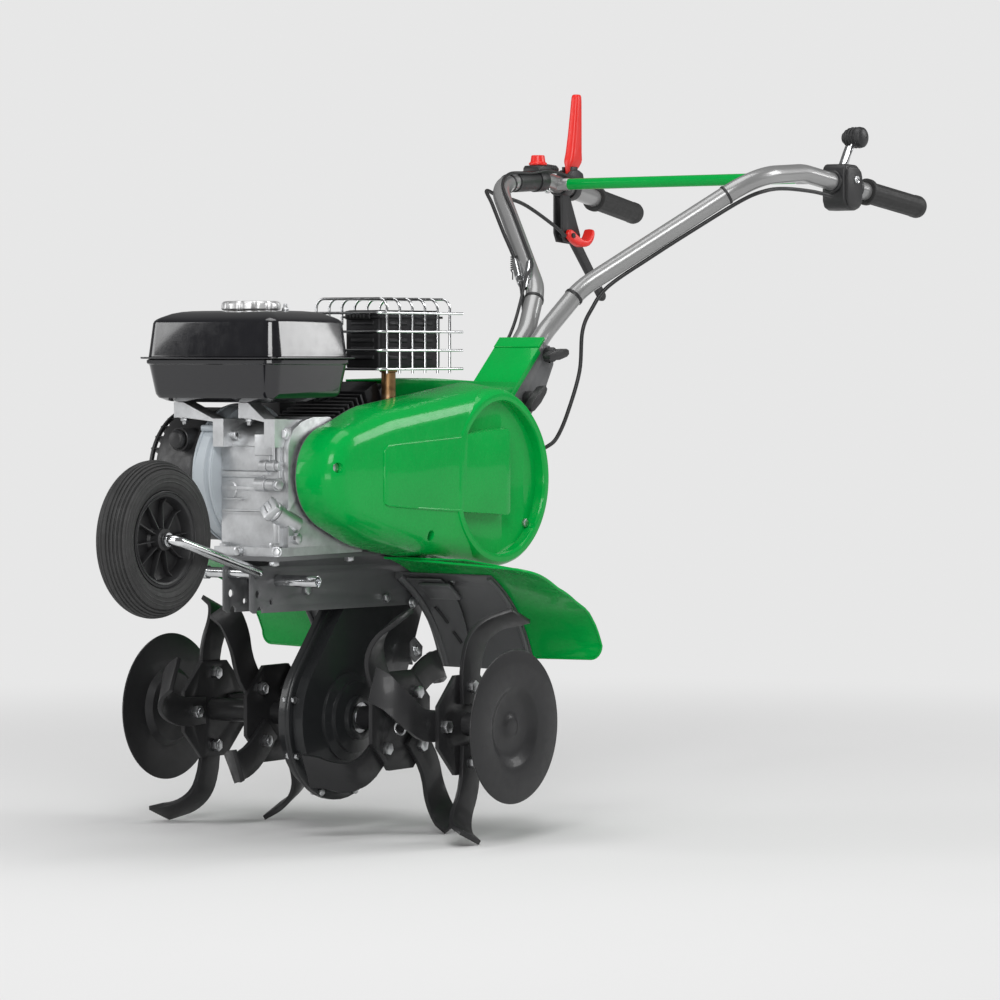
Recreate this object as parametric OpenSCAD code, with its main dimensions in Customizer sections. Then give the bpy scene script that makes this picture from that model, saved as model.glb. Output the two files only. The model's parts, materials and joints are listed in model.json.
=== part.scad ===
// Petrol garden tiller with a belt clutch, a chain case, sixteen tines and a folding transport wheel.
// Millimetres. +X is the machine's left side, -Y the way it drives, +Z up.
// Lengths inside the modules count from the ground right below the tine axle.

/* [Tines] */
// Radius that the tine tips sweep
tine_r = 165; // [155:1:175]
// Width of a tine's tip round the sweep
tip_w = 50; // [40:1:56]
// How far a tine's tip stands out sideways
tip_reach = 46; // [38:1:52]
// Distance of the inner tine sets from the middle
inner_set_x = 109; // [104:1:118]
// Distance of the outer tine sets from the middle
outer_set_x = 221; // [214:1:232]
// Distance of the side discs from the middle
disc_x = 300; // [290:1:320]
// Diameter of the side discs
disc_d = 211; // [180:1:230]
// Diameter of the tine axle
axle_d = 25; // [22:1:27]

/* [Gearbox] */
// Radius of the case round the tine axle
case_r = 107; // [103:1:112]
// Radius of the case round the input shaft
case_top_r = 50; // [46:1:58]
// Half the width of the case
case_hw = 21; // [20:1:24]
// Input shaft behind the tine axle
input_y = 204; // [196:1:212]
// Input shaft above the tine axle
input_rise = 329; // [322:1:336]

/* [Engine] */
// Engine bed above the tine axle
engine_rise = 234; // [228:1:240]
// Crankshaft ahead of the tine axle
crank_ahead = 128; // [122:1:134]
// Crankshaft above the engine bed
crank_rise = 108; // [104:1:114]
// Width of the fuel tank
tank_w = 216; // [205:1:226]
// Depth of the fuel tank, front to back
tank_l = 170; // [160:1:180]
// Height of the fuel tank
tank_h = 125; // [115:1:135]

/* [Belt drive] */
// Radius of the pulley on the engine
drive_r = 36; // [32:1:42]
// Radius of the pulley on the gearbox
driven_r = 92; // [84:1:98]
// Depth of the belt cover
cover_depth = 64; // [58:1:70]

/* [Transport wheel] */
// Radius of the tyre
wheel_r = 106; // [98:1:114]
// Radius of the tyre's round section
tyre_r = 26; // [22:1:29]
// Length of the wheel's arm
arm_l = 194; // [186:1:208]

/* [Handlebar] */
// Half the distance between the two handles at the bend
bar_x = 238; // [225:1:255]
// Height of the handles at the bend above the tine axle
bar_rise = 782; // [760:1:800]
// Diameter of the handle tubes
tube_d = 28; // [25:1:30]
// Length of the rubber grips
grip_l = 143; // [120:1:160]

/* [Hidden] */
$fn = 64;

// Paint and metal
green = [0.0, 0.52, 0.24];
charcoal = [0.24, 0.25, 0.26];
black = [0.05, 0.05, 0.05];
tine_black = [0.10, 0.10, 0.11];
castal = [0.66, 0.66, 0.64];
steel = [0.62, 0.63, 0.65];
chrome = [0.80, 0.81, 0.83];
tube_grey = [0.42, 0.43, 0.45];
shroud_grey = [0.62, 0.66, 0.69];
red = [0.80, 0.07, 0.06];
bronze = [0.55, 0.42, 0.28];

// Clearances: pieces that run, pieces bolted together, and bolts in their holes
run = 0.05;
seat = 0.1;
slack = 0.4;
eps = 0.5;

// Tine tips sweep back from their bolts, so that two rows stand on the ground at once
sweep_deg = 22.5;
tip_deg = asin(tip_w / 2 / tine_r);
axle_z = tine_r * cos(sweep_deg - tip_deg);
axle_r = axle_d / 2;
blade_t = 7;
plate_t = 6;
hub_r = axle_r + 4;
tine_bolt_r = 52;
axle_half = disc_x - 8;

// Chain case
case_wall = 3;
seam_gap = 0.05;
flange_w = 10;
flange_t = 5;
boss_x = 44;
input_z = axle_z + input_rise;
case_run = norm([input_y, input_rise]);
counter_at = 0.556;
counter_y = input_y * counter_at;
counter_z = axle_z + input_rise * counter_at;
case_tilt = atan2(input_y, input_rise);
chain_x = 6.5;
chain_w = 5;
chain_in = 3.7;
chain_out = 9;
pitch = 12.7;
small_teeth = 10;
counter_teeth = 30;
axle_teeth = 40;
input_r = 10;
counter_r = 8;
axle_bearing_r = axle_r + 13;
input_bearing_r = 19;
counter_bearing_r = 14;

// Chassis and engine bed
frame_t = 3;
frame_x0 = case_hw + slack;
frame_x1 = frame_x0 + frame_t;
nose_y = -227;
frame_z0 = axle_z + 156;
base_z = axle_z + engine_rise;
bed_t = 6;
bed_z = base_z - bed_t;
crank_y = -crank_ahead;
crank_z = base_z + crank_rise;
crank_r = 12;

// Belt drive
pto_x = 62;
pto_t = 14;
back_x = pto_x + pto_t;
back_t = 2;
cover_x = back_x + back_t;
cover_t = 2;
nose_r = drive_r + 32;
ring_r = driven_r + 30;
pulley_w = 20;
pulley_x = cover_x + 24;
belt_w = 11.6;
belt_in = 7;
belt_out = 2;
idler_y = 60;
idler_r = 18;
idler_pivot_y = -30;
idler_pivot_z = crank_z + 2;
idler_rest = 9;
belt_angle = atan2(input_z - crank_z, input_y - crank_y);
belt_run = norm([input_y - crank_y, input_z - crank_z]);
belt_taper = asin((driven_r - drive_r) / belt_run);
run_angle = belt_angle - belt_taper;
run_y = crank_y + (drive_r - belt_in) * sin(run_angle);
run_z = crank_z - (drive_r - belt_in) * cos(run_angle);
idler_z = run_z + (idler_y - run_y) * tan(run_angle) + (idler_r + idler_rest) / cos(run_angle);

// Fuel tank and muffler, from the crankshaft
tank_x = -31;
tank_y = crank_y - 33;
tank_z = crank_z + 100;
tank_round = 22;
tank_wall = 2;
flange_out = 7;
flange_round = 10;
seam_z = tank_z + tank_h * 0.488;
cap_x = tank_x - 2;
cap_y = tank_y + 10;
neck_r = 27;
cap_r = 39;
tank_top = tank_z + tank_h;
muffler_x = 19;
muffler_y = crank_y + 123;
muffler_z = crank_z + 145;
muffler_size = [61, 146, 82];
slant = 25;

// Fenders: arcs round the axle
fender_r = tine_r + 63;
fender_t = 2;
fender_x0 = 52;
fender_x1 = disc_x;
guard_x1 = 190;
guard_r = fender_r - fender_t - 0.3;

// Handle column
column_x0 = tube_d + 6;
column_t = 4;
column_x1 = column_x0 + column_t;
column_deg = 42.7;
column_fold = [446.4, 516.2];
column_low = 175;
column_top = 22.5;
sheet_t = 2;
pivot_y = 418;
pivot_z = axle_z + 442;
slot_y = 472;
slot_z = axle_z + 507;
slot_run = norm([slot_y - pivot_y, slot_z - pivot_z]);
slot_deg = atan2(slot_z - pivot_z, slot_y - pivot_y);
tilt_down = 6;
tilt_end = 1;
knob_bolt_r = 6;
slot_bolt_r = 5;

// Handle tubes: hand-chosen corners of the left tube, mirrored for the right
tube_r = tube_d / 2;
bar_z = axle_z + bar_rise;
bar_end = [bar_x + 30, 1189, bar_z - 40];
tube_behind = tube_r + sheet_t + 1.4;
bar_path = [on_column(tube_r + 0.6, -20, tube_behind), on_column(tube_r + 3, 57, tube_behind),
    [40, 560, axle_z + 606], [bar_x, 742, bar_z - 5], [bar_x, 880, bar_z + 4], bar_end];
bar_bend = 60;
grip_dir = unit(bar_end - bar_path[4]);
grip_r = tube_r + 4;
grip_cap = 4;
cross_y = 908;

// Controls on the right handle, then on the left
throttle_y = 858;
clutch_y = 932;
reverse_y = 962;
selector_y = 986;
lever_drop = 84;
lever_back = 34;
latch_drop = 80;
latch_back = 6;
selector_size = [44, 56, 72];

// Transport wheel
arm_r = 7.2;
arm_deg = 15.8;
arm_pivot_y = nose_y + 13;
arm_pivot_z = frame_z0 + 54;
arm_x = frame_x1 + arm_r + 2;
wheel_x = arm_x - tyre_r - 9.5;
nose_top = frame_z0 + 64;
wheel_y = arm_pivot_y - arm_l * cos(arm_deg);
wheel_z = arm_pivot_z + arm_l * sin(arm_deg);
hub_half = 24;
stop_y = nose_y + 59;
stop_z = frame_z0 + 43;
stop_r = 8;
stop_out = 70;

// The part's origin is on the ground in the middle of its length
front_end = wheel_y - wheel_r;
rear_end = bar_end.y + grip_cap * grip_dir.y + grip_r * sqrt(1 - grip_dir.y * grip_dir.y);
axle_y = -(front_end + rear_end) / 2;

// Vectors
function unit(v) = v / norm(v);
function turn2(p, a) = [p.x * cos(a) - p.y * sin(a), p.x * sin(a) + p.y * cos(a)];

// Outline of two discs of radii r1 and r2 that lie d apart, with straight tangents
function capsule(r1, r2, d, n = 24) = let (lean = asin((r1 - r2) / d)) concat(
    [for (i = [0 : n]) let (a = 90 - lean + (180 + 2 * lean) * i / n) r1 * [cos(a), sin(a)]],
    [for (i = [0 : n]) let (a = -90 + lean + (180 - 2 * lean) * i / n) [d, 0] + r2 * [cos(a), sin(a)]]);
// The same outline turned by a and moved to p
function capsule_at(r1, r2, d, a, p, n = 24) = [for (q = capsule(r1, r2, d, n)) p + turn2(q, a)];
// Outline of the chain case, grown by g
function case_line(g) = capsule_at(case_r + g, case_top_r + g, case_run, 90 - case_tilt, [0, axle_z]);
// Outline of the belt cover, grown by g
function cover_line(g) = capsule_at(nose_r + g, ring_r + g, belt_run, belt_angle, [crank_y, crank_z], 32);
// Toothed outline
function cog(n, r0, r1) = [for (i = [0 : n - 1], k = [0 : 3])
    let (a = (i + [0.1, 0.34, 0.5, 0.74][k]) * 360 / n, r = [r1, r1, r0, r0][k]) r * [cos(a), sin(a)]];
function chain_r(teeth) = pitch / 2 / sin(180 / teeth);
// Band along an arc, as an outline in polar form
function arc_band(r0, r1, a0, a1, n = 20) = concat(
    [for (i = [0 : n]) let (a = a0 + (a1 - a0) * i / n) r1 * [cos(a), sin(a)]],
    [for (i = [0 : n]) let (a = a1 + (a0 - a1) * i / n) r0 * [cos(a), sin(a)]]);
// Slot of half-width w along an arc, with round ends
function arc_slot(r, w, a0, a1, n = 8) = concat(
    [for (i = [0 : n]) let (a = a0 + (a1 - a0) * i / n) (r + w) * [cos(a), sin(a)]],
    [for (i = [1 : n - 1]) let (a = a1 + 180 * i / n) r * [cos(a1), sin(a1)] + w * [cos(a), sin(a)]],
    [for (i = [0 : n]) let (a = a1 + (a0 - a1) * i / n) (r - w) * [cos(a), sin(a)]],
    [for (i = [1 : n - 1]) let (a = a0 + 180 + 180 * i / n) r * [cos(a0), sin(a0)] + w * [cos(a), sin(a)]]);
// Smooth curve through hand-chosen points
function curve(p, m = 3) = concat(
    [for (i = [0 : len(p) - 2], k = [0 : m - 1]) let (t = k / m,
        a = p[max(i - 1, 0)], b = p[i], c = p[i + 1], d = p[min(i + 2, len(p) - 1)])
        0.5 * (2 * b + (c - a) * t + (2 * a - 5 * b + 4 * c - d) * t * t
            + (3 * b - a - 3 * c + d) * t * t * t)],
    [p[len(p) - 1]]);
// Line through corners, each rounded to a radius
function rounded(p, bend, m = 6) = concat([p[0]],
    [for (i = [1 : len(p) - 2]) let (d = unit(p[i] - p[i - 1]), e = unit(p[i + 1] - p[i]), a = acos(d * e),
        middle = p[i] + unit(e - d) * bend / cos(a / 2), s = (p[i] - d * bend * tan(a / 2) - middle) / bend)
        for (k = [0 : m]) middle + bend * (cos(a * k / m) * s + sin(a * k / m) * d)],
    [p[len(p) - 1]]);
// Place on the left handle tube at a distance behind the axle, and the tube's direction there
function bar_part(y) = y < bar_path[4].y ? 3 : 4;
function bar_dir(y) = unit(bar_path[bar_part(y) + 1] - bar_path[bar_part(y)]);
function on_bar(y) = let (p = bar_path[bar_part(y)], d = bar_dir(y)) p + d * (y - p.y) / d.y;
// Point s up the column from its fold and d behind its front face, above the axle
function column_at(s, d) = column_fold + s * [cos(column_deg), sin(column_deg)]
    + d * [sin(column_deg), -cos(column_deg)];
function on_column(x, s, d) = [x, column_at(s, d).x, axle_z + column_at(s, d).y];
function mirrored(p) = [-p.x, p.y, p.z];
// Frame of axes whose third one is v
function frame(v, ref = [0.31, 0.17, 0.93]) = let (w = unit(v), u = unit(cross(ref, w)),
    s = cross(w, u)) [u, s, w];

// Direction of a line of points at its point i
function line_dir(c, i) = let (ahead = c[min(i + 1, len(c) - 1)] - c[i], behind = c[i] - c[max(i - 1, 0)])
    unit(ahead + 0.001 * behind) + unit(behind + 0.001 * ahead);

// Every length in the modules starts here
module machine() {
    translate([0, axle_y, 0]) children();
}
module at(y, z) {
    translate([0, y, z]) children();
}
module both_sides() {
    children();
    mirror([1, 0, 0]) children();
}
// Round bar along X
module xcyl(r, x0, x1) {
    translate([x0, 0, 0]) rotate([0, 90, 0]) cylinder(r = r, h = x1 - x0);
}
module xring(ro, ri, x0, x1) {
    difference() {
        xcyl(ro, x0, x1);
        xcyl(ri, x0 - 1, x1 + 1);
    }
}
// Plate whose outline lies in Y and Z
module xplate(x0, x1) {
    translate([x0, 0, 0]) rotate([90, 0, 90]) linear_extrude(x1 - x0) children();
}
module box(x, y, z) {
    translate([x[0], y[0], z[0]]) cube([x[1] - x[0], y[1] - y[0], z[1] - z[0]]);
}
// Stands children on a point, with their Z along v
module along(p, v) {
    f = frame(v);
    multmatrix([[f[0].x, f[1].x, f[2].x, p.x], [f[0].y, f[1].y, f[2].y, p.y],
        [f[0].z, f[1].z, f[2].z, p.z], [0, 0, 0, 1]]) children();
}
module bar(p, q, r) {
    along(p, q - p) cylinder(r = r, h = norm(q - p));
}
// Closed skin over rings of points
module skin(rings) {
    n = len(rings[0]);
    m = len(rings);
    polyhedron([for (s = rings, q = s) q], concat(
        [[for (k = [n - 1 : -1 : 0]) k]],
        [for (i = [0 : m - 2], k = [0 : n - 1]) [i * n + k, (i + 1) * n + (k + 1) % n, (i + 1) * n + k]],
        [for (i = [0 : m - 2], k = [0 : n - 1])
            [i * n + k, i * n + (k + 1) % n, (i + 1) * n + (k + 1) % n]],
        [[for (k = [0 : n - 1]) (m - 1) * n + k]]));
}
// Round tube along a line of points
module tube(c, r, sides) {
    skin([for (i = [0 : len(c) - 1]) let (f = frame(line_dir(c, i)))
        [for (k = [0 : sides - 1]) let (a = -360 * k / sides) c[i] + r * (cos(a) * f[0] + sin(a) * f[1])]]);
}
// Cable along hand-chosen points
module cable(p, r) {
    tube(curve(p), r, 8);
}
// Hexagon head on a bolt along X
module hex_x(r, x0, x1) {
    translate([x0, 0, 0]) rotate([0, 90, 0]) cylinder(r = r, h = x1 - x0, $fn = 6);
}
// Round bar along Y
module ycyl(r, y0, y1) {
    translate([0, y1, 0]) rotate([90, 0, 0]) cylinder(r = r, h = y1 - y0);
}
// Turned shape about X, from an outline of radius and distance along X
module turned(outline) {
    rotate([0, 90, 0]) rotate_extrude() polygon(outline);
}

// Chassis: two side walls under an engine bed
module chassis_frame() {
    color(charcoal) machine() difference() {
        union() {
            both_sides() xplate(frame_x0, frame_x1) polygon([[nose_y, frame_z0 + 4], [nose_y + 8, frame_z0],
                [165, frame_z0 - 6], [185, frame_z0 + 10], [185, frame_z0 + 40], [165, frame_z0 + 54],
                [40, bed_z + eps], [nose_y + 46, bed_z + eps], [nose_y + 40, nose_top],
                [nose_y + 4, nose_top], [nose_y, nose_top - 4]]);
            box([-44, pto_x + 6], [nose_y + 2, 40], [bed_z, base_z]);
        }
        at(arm_pivot_y, arm_pivot_z) xcyl(arm_r + run, -60, 60);
        at(stop_y, stop_z) xcyl(stop_r + run, -60, 60);
        at(nose_y + 16, frame_z0 + 26) xcyl(5.5, -60, 60);
        at(nose_y + 46, frame_z0 + 14) xcyl(4, -60, 60);
        at(nose_y + 20, frame_z0 + 2) xcyl(6.5, -60, 60);
        for (p = concat(wall_bolts, column_bolts)) at(p.x, p.y) xcyl(4.3, -60, 60);
        for (p = engine_bolts) translate([p.x, p.y, bed_z - 1]) cylinder(r = 4.4, h = bed_t + 2);
    }
}
wall_bolts = [[-105, frame_z0 + 27], [82, frame_z0 + 8]];
column_bolts = [[168, frame_z0 + 16], [160, frame_z0 + 40]];
engine_bolts = [for (x = [-32, 54], y = [crank_y - 84, crank_y + 85]) [x, y]];

// Cross tube that holds the chassis walls apart and stands out on the left
module stop_tube() {
    color(chrome) machine() at(stop_y, stop_z) difference() {
        xcyl(stop_r, -frame_x1 - 2, frame_x1 + stop_out);
        xcyl(stop_r - 1.5, -frame_x1 - 3, frame_x1 + stop_out + 1);
    }
}

// Gearbox case
counter_room = chain_r(counter_teeth) + chain_out + 2;
module case_half(left) {
    difference() {
        union() {
            xplate(seam_gap, case_hw) polygon(case_line(0));
            at(counter_y, counter_z) xcyl(counter_room + case_wall, seam_gap, case_hw);
            xplate(seam_gap, flange_t) polygon(case_line(flange_w));
            at(0, axle_z) turned([[0, case_hw - 1], [62, case_hw - 1], [62, case_hw + 4], [50, case_hw + 8],
                [50, case_hw + 14], [axle_bearing_r + 6, case_hw + 16], [axle_bearing_r + 6, boss_x],
                [0, boss_x]]);
            at(input_y, input_z) xcyl(input_bearing_r + 5, case_hw - 1, left ? back_x : case_hw + 11);
        }
        xplate(-1, case_hw - case_wall) polygon(case_line(-case_wall));
        at(counter_y, counter_z) xcyl(counter_room, -1, case_hw - case_wall);
        at(0, axle_z) xcyl(axle_bearing_r + run, case_hw - 4, case_hw + 13.5);
        at(0, axle_z) xcyl(axle_bearing_r - 4 + run, case_hw + 13, boss_x + 1);
        at(input_y, input_z) xcyl(input_bearing_r + run, case_hw - 4, case_hw + 8.5);
        if (left) at(input_y, input_z) xcyl(input_r + 2, case_hw + 8, back_x + 1);
        for (p = case_bolts) at(p.x, p.y) xcyl(3.3, -1, flange_t + 1);
    }
    at(counter_y, counter_z) xring(counter_bearing_r + 4, counter_bearing_r + run, case_hw - 10,
        case_hw - 2);
}
case_bolts = [for (i = [3, 8, 13, 18, 23, 29, 37, 45]) case_line(flange_w / 2)[i]];
module case_left() {
    color(black) machine() case_half(true);
}
module case_right() {
    color(black) machine() mirror([1, 0, 0]) case_half(false);
}
module gearbox_bearings() {
    color(steel) machine() both_sides() {
        at(0, axle_z) xring(axle_bearing_r, axle_r + run, case_hw - 1, case_hw + 13);
        at(0, axle_z) xring(axle_bearing_r - 4, axle_r + run, case_hw + 15, case_hw + 21);
        at(input_y, input_z) xring(input_bearing_r, input_r + run, case_hw, case_hw + 8);
        at(counter_y, counter_z) xring(counter_bearing_r, counter_r + run, case_hw - 9.5, case_hw - 3.5);
    }
}
module sprocket(teeth, x) {
    xplate(x - chain_w / 2, x + chain_w / 2) polygon(cog(teeth, chain_r(teeth) - 3, chain_r(teeth) + 3));
}
module chain_loop(x, p, n1, q, n2) {
    d = norm(q - p);
    a = atan2(q.y - p.y, q.x - p.x);
    xplate(x - chain_w / 2, x + chain_w / 2) difference() {
        polygon(capsule_at(chain_r(n1) + chain_out, chain_r(n2) + chain_out, d, a, p));
        polygon(capsule_at(chain_r(n1) + chain_in, chain_r(n2) + chain_in, d, a, p));
    }
}
module drive_chains() {
    color(steel) machine() {
        chain_loop(chain_x, [counter_y, counter_z], counter_teeth, [input_y, input_z], small_teeth);
        chain_loop(-chain_x, [0, axle_z], axle_teeth, [counter_y, counter_z], small_teeth);
    }
}
module input_shaft() {
    color(steel) machine() at(input_y, input_z) {
        xcyl(input_r, -case_hw - 7, pulley_x + pulley_w / 2 + 4);
        sprocket(small_teeth, chain_x);
    }
}
module countershaft() {
    color(steel) machine() at(counter_y, counter_z) {
        xcyl(counter_r, -case_hw + 3.6, case_hw - 3.6);
        sprocket(counter_teeth, chain_x);
        sprocket(small_teeth, -chain_x);
    }
}

// Tine rotor
pin_x = inner_set_x + 17;
module tine_shaft() {
    color(steel) machine() at(0, axle_z) {
        difference() {
            xcyl(axle_r, -axle_half, axle_half);
            both_sides() translate([pin_x, 0, 0]) ycyl(4.2, -40, 40);
        }
        sprocket(axle_teeth, -chain_x);
    }
}
module tine_hub() {
    difference() {
        union() {
            xcyl(hub_r, boss_x + 1.5, axle_half);
            for (x = [inner_set_x, outer_set_x]) rotate([x == inner_set_x ? 45 : 0, 0, 0])
                xplate(x - plate_t / 2, x + plate_t / 2) rotate(22.5) circle(r = 74, $fn = 8);
        }
        xcyl(axle_r + seat, boss_x, axle_half + 1);
        translate([pin_x, 0, 0]) ycyl(4.2, -40, 40);
        for (s = tine_spots) rotate([-s[1], 0, 0]) at(0, -tine_bolt_r) xcyl(5.4, s[0] - 10, s[0] + 10);
    }
}
module tine_hubs() {
    color(tine_black) machine() at(0, axle_z) both_sides() tine_hub();
}
// Place along X, bolt angle from straight down, and side of the plate, for each tine of one half
tine_spots = [for (x = [inner_set_x, outer_set_x], k = [0 : 3])
    [x, 90 * k - (x == inner_set_x ? 45 : 0), k % 2 == 0 ? 1 : -1]];
// One tine: a flat arm that sweeps forward and bends sideways into a broad tip
tine_bend = 30;
tine_turn = tine_r - blade_t / 2 - tine_bend;
tine_rings = [[34, 0, 0, 0, 44], [75, 0, 0, 0, 44], [104, 5, 0, 0, 46], [tine_turn, 13, 0, 0, 48],
    [0, 17, 30, 0, tip_w], [0, 20, 60, 0, tip_w], [0, sweep_deg, 90, 0, tip_w],
    [0, sweep_deg, 90, 1, tip_w]];
function tine_ring(q) = let (f = q[2], r = q[0] > 0 ? q[0] : tine_turn + tine_bend * sin(f),
    x = tine_bend * (1 - cos(f)) + q[3] * (tip_reach - tine_bend),
    w = asin(q[4] / 2 / tine_r) * tine_r / (r + blade_t / 2))
    [for (c = [[1, -1], [1, 1], [-1, 1], [-1, -1]]) let (rr = r + c.x * blade_t / 2 * sin(f),
    a = q[1] + c.y * w)
        [x - c.x * blade_t / 2 * cos(f), -rr * sin(a), -rr * cos(a)]];
module tine_blade() {
    difference() {
        skin([for (q = tine_rings) tine_ring(q)]);
        at(0, -tine_bolt_r) xcyl(5.4, -10, 10);
    }
}
module tine_half() {
    for (s = tine_spots) translate([s[0], 0, 0]) rotate([-s[1], 0, 0]) mirror([s[2] < 0 ? 1 : 0, 0, 0])
        translate([plate_t / 2 + blade_t / 2 + 0.05, 0, 0]) tine_blade();
}
module tines_left() {
    color(tine_black) machine() at(0, axle_z) tine_half();
}
module tines_right() {
    color(tine_black) machine() at(0, axle_z) mirror([1, 0, 0]) tine_half();
}
module tine_bolt(side) {
    head = plate_t / 2 + (side > 0 ? blade_t + 0.1 : 0);
    nut = plate_t / 2 + (side > 0 ? 0 : blade_t + 0.1);
    hex_x(9, head, head + 7);
    hex_x(9, -nut - 8, -nut);
    xcyl(5, -nut - 10, head + 1);
}
module rotor_fasteners() {
    color(steel) machine() at(0, axle_z) both_sides() {
        for (s = tine_spots) translate([s[0], 0, 0]) rotate([-s[1], 0, 0]) at(0, -tine_bolt_r)
            tine_bolt(s[2]);
        translate([pin_x, 0, 0]) {
            ycyl(4, -hub_r - 8, hub_r + 6);
            translate([0, -hub_r - 6, -9]) rotate([90, 0, 0]) rotate_extrude() translate([9, 0])
                circle(r = 1.6);
        }
    }
}
module side_discs() {
    r = disc_d / 2;
    dish = r * 0.53;
    color(tine_black) machine() at(0, axle_z) both_sides() translate([disc_x, 0, 0])
        turned([[0, -8], [dish - 7, -8], [dish, 0], [r - 1, 0], [r, 1], [r, 3], [dish - 1.5, 3],
            [dish - 8.5, -5], [15, -5], [15, 4], [0, 4]]);
}

// Engine
flange_h = 12;
case_outline = [[-74, -crank_rise + flange_h + 0.1], [-74, 40], [-70, 52], [-62, 64], [-44, 74], [-20, 80],
    [20, 80], [52, 62], [70, 20], [70, -crank_rise + flange_h + 0.1]];
filler = [pto_x, crank_y - 64, crank_z - 60];
filler_dir = unit([-0.2, -0.85, 0.46]);
filler_r = 13;
// Arms that carry the tank: place of the foot, and how far inwards the arm runs
tank_arms = [[-104, 60], [8, 36]];
function tank_arm_line(inwards) = [[-8, 0], [8, 0], [inwards, -22], [inwards + 18, -22], [inwards + 18, -60],
    [inwards, -60], [inwards, -26], [10, -21], [-8, -21]];
module crankcase() {
    color(castal) machine() difference() {
        union() {
            box([-44, pto_x + 6], [crank_y - 92, crank_y + 97], [base_z + 0.05, base_z + flange_h]);
            at(crank_y, crank_z) xplate(-45, pto_x) polygon(case_outline);
            box([-45, pto_x], [crank_y - 74, crank_y + 70], [base_z + flange_h / 2, base_z + flange_h + 1]);
            at(crank_y, crank_z) rotate([slant, 0, 0]) box([-40, 46], [40, 74], [-48, 48]);
            for (z = [crank_z - 50, crank_z - 18, crank_z + 2])
                box([-40, pto_x - 24], [crank_y - 79, crank_y - 70], [z, z + 4]);
            for (a = tank_arms) {
                translate([a.x, crank_y - 66, tank_z - 0.05]) rotate([90, 0, 0]) linear_extrude(28)
                    polygon(tank_arm_line(a.y));
                box([a.x + a.y, a.x + a.y + 18], [crank_y - 67, crank_y - 30], [crank_z + 38, crank_z + 77]);
            }
            bar(filler, filler + 26 * filler_dir, filler_r);
        }
        at(crank_y, crank_z) xplate(-38, pto_x + 1) polygon(case_outline * 0.87);
        at(crank_y, crank_z) rotate([slant, 0, 0]) ycyl(34, 30, 75);
        at(crank_y, crank_z) xcyl(crank_r + run, -60, 0);
        bar(filler - 12 * filler_dir, filler + 27 * filler_dir, 9 + run);
        for (p = engine_bolts) translate([p.x, p.y, base_z - 1]) cylinder(r = 4.4, h = 14);
    }
}
module crankcase_cover() {
    color(castal) machine() difference() {
        at(crank_y, crank_z) {
            xplate(pto_x + 0.05, pto_x + 8) polygon(case_outline);
            xcyl(44, pto_x + 7, back_x - 0.05);
        }
        at(crank_y, crank_z) xcyl(crank_r + run, pto_x - 1, back_x + 1);
        bar(filler - 14 * filler_dir, filler + 30 * filler_dir, filler_r + 0.1);
    }
}
module crankshaft() {
    color(steel) machine() at(crank_y, crank_z) {
        xcyl(crank_r, -112, -2);
        xcyl(crank_r, 28, pulley_x + pulley_w / 2 + 4);
        for (x = [-6, 24]) xcyl(40, x, x + 8);
        at(0, 24) xcyl(9, 1, 25);
    }
}
module flywheel() {
    color(steel) machine() at(crank_y, crank_z)
        turned([[crank_r + seat, -94], [26, -94], [26, -84], [62, -76], [62, -92], [80, -92],
        [80, -56], [62, -56],
            [62, -66], [26, -66], [26, -52], [crank_r + seat, -52]]);
}
module cylinder_frame() {
    machine() at(crank_y, crank_z) rotate([slant, 0, 0]) children();
}
head_y = 158;
head_top = 190;
head_x = 54;
module engine_block() {
    color(black) cylinder_frame() difference() {
        union() {
            box([-38, 44], [74.05, head_y + 1], [-40, 40]);
            for (i = [0 : 6]) box([-44, head_x], [80 + 11 * i, 84 + 11 * i], [-52, 52]);
            box([-50, head_x], [head_y, head_top], [-52, 52]);
        }
        ycyl(34, 70, head_y - 8);
        translate([0, head_y + 14, -60]) cylinder(r = 7, h = 30);
    }
}
module rocker_cover() {
    color(black) cylinder_frame() difference() {
        box([-44, 48], [head_top + 0.05, head_top + 28], [-36, 36]);
        box([-41, 45], [head_top - 1, head_top + 25], [-33, 33]);
    }
}
module spark_plug() {
    color(black) cylinder_frame() translate([0, head_y + 14, 0]) {
        translate([0, 0, -62]) cylinder(r = 6.8, h = 26);
        translate([0, 0, -62.1]) cylinder(r = 10.5, h = 10, $fn = 6);
        translate([0, 0, -94]) cylinder(r = 8, h = 33);
    }
}
blower_r = 96;
blower_x = -78;
module blower_housing() {
    color(shroud_grey) machine() at(crank_y, crank_z) difference() {
        xcyl(blower_r, blower_x, -45.05);
        xcyl(blower_r - 2.5, blower_x - 1, -48);
        xcyl(20, -60, -40);
    }
}
rope_x = -100;
rope_z = crank_z + 49;
rope_y = crank_y - 96;
module recoil_cover() {
    color(black) machine() difference() {
        union() {
            at(crank_y, crank_z) turned([[0, -168], [52, -168], [60, -160], [80, -156], [90, -148],
                [92, -140], [92, -86], [95.5, -84], [95.5, blower_x - 0.05], [0, blower_x - 0.05]]);
            translate([rope_x, 0, rope_z]) ycyl(16, rope_y, crank_y - 40);
        }
        at(crank_y, crank_z) turned([[0, -165], [50, -165], [58, -157.5], [78, -153.5], [87.5, -146.5],
            [89.5, -139], [89.5, blower_x + 1], [0, blower_x + 1]]);
        translate([rope_x, 0, rope_z]) ycyl(3, rope_y - 1, crank_y);
        for (a = [0 : 30 : 330]) at(crank_y, crank_z) rotate([a, 0, 0])
            box([-172, -146], [62, 76], [-4, 4]);
    }
}
module starter_grip() {
    color(black) machine() translate([rope_x, 0, rope_z]) {
        ycyl(2.8, rope_y - 8, crank_y - 14);
        translate([0, rope_y - 0.4, 0]) rotate([90, 0, 0]) rotate_extrude()
            polygon([[0, 0], [10, 0], [13, 3], [13, 8], [10, 12], [0, 13]]);
    }
}
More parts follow.
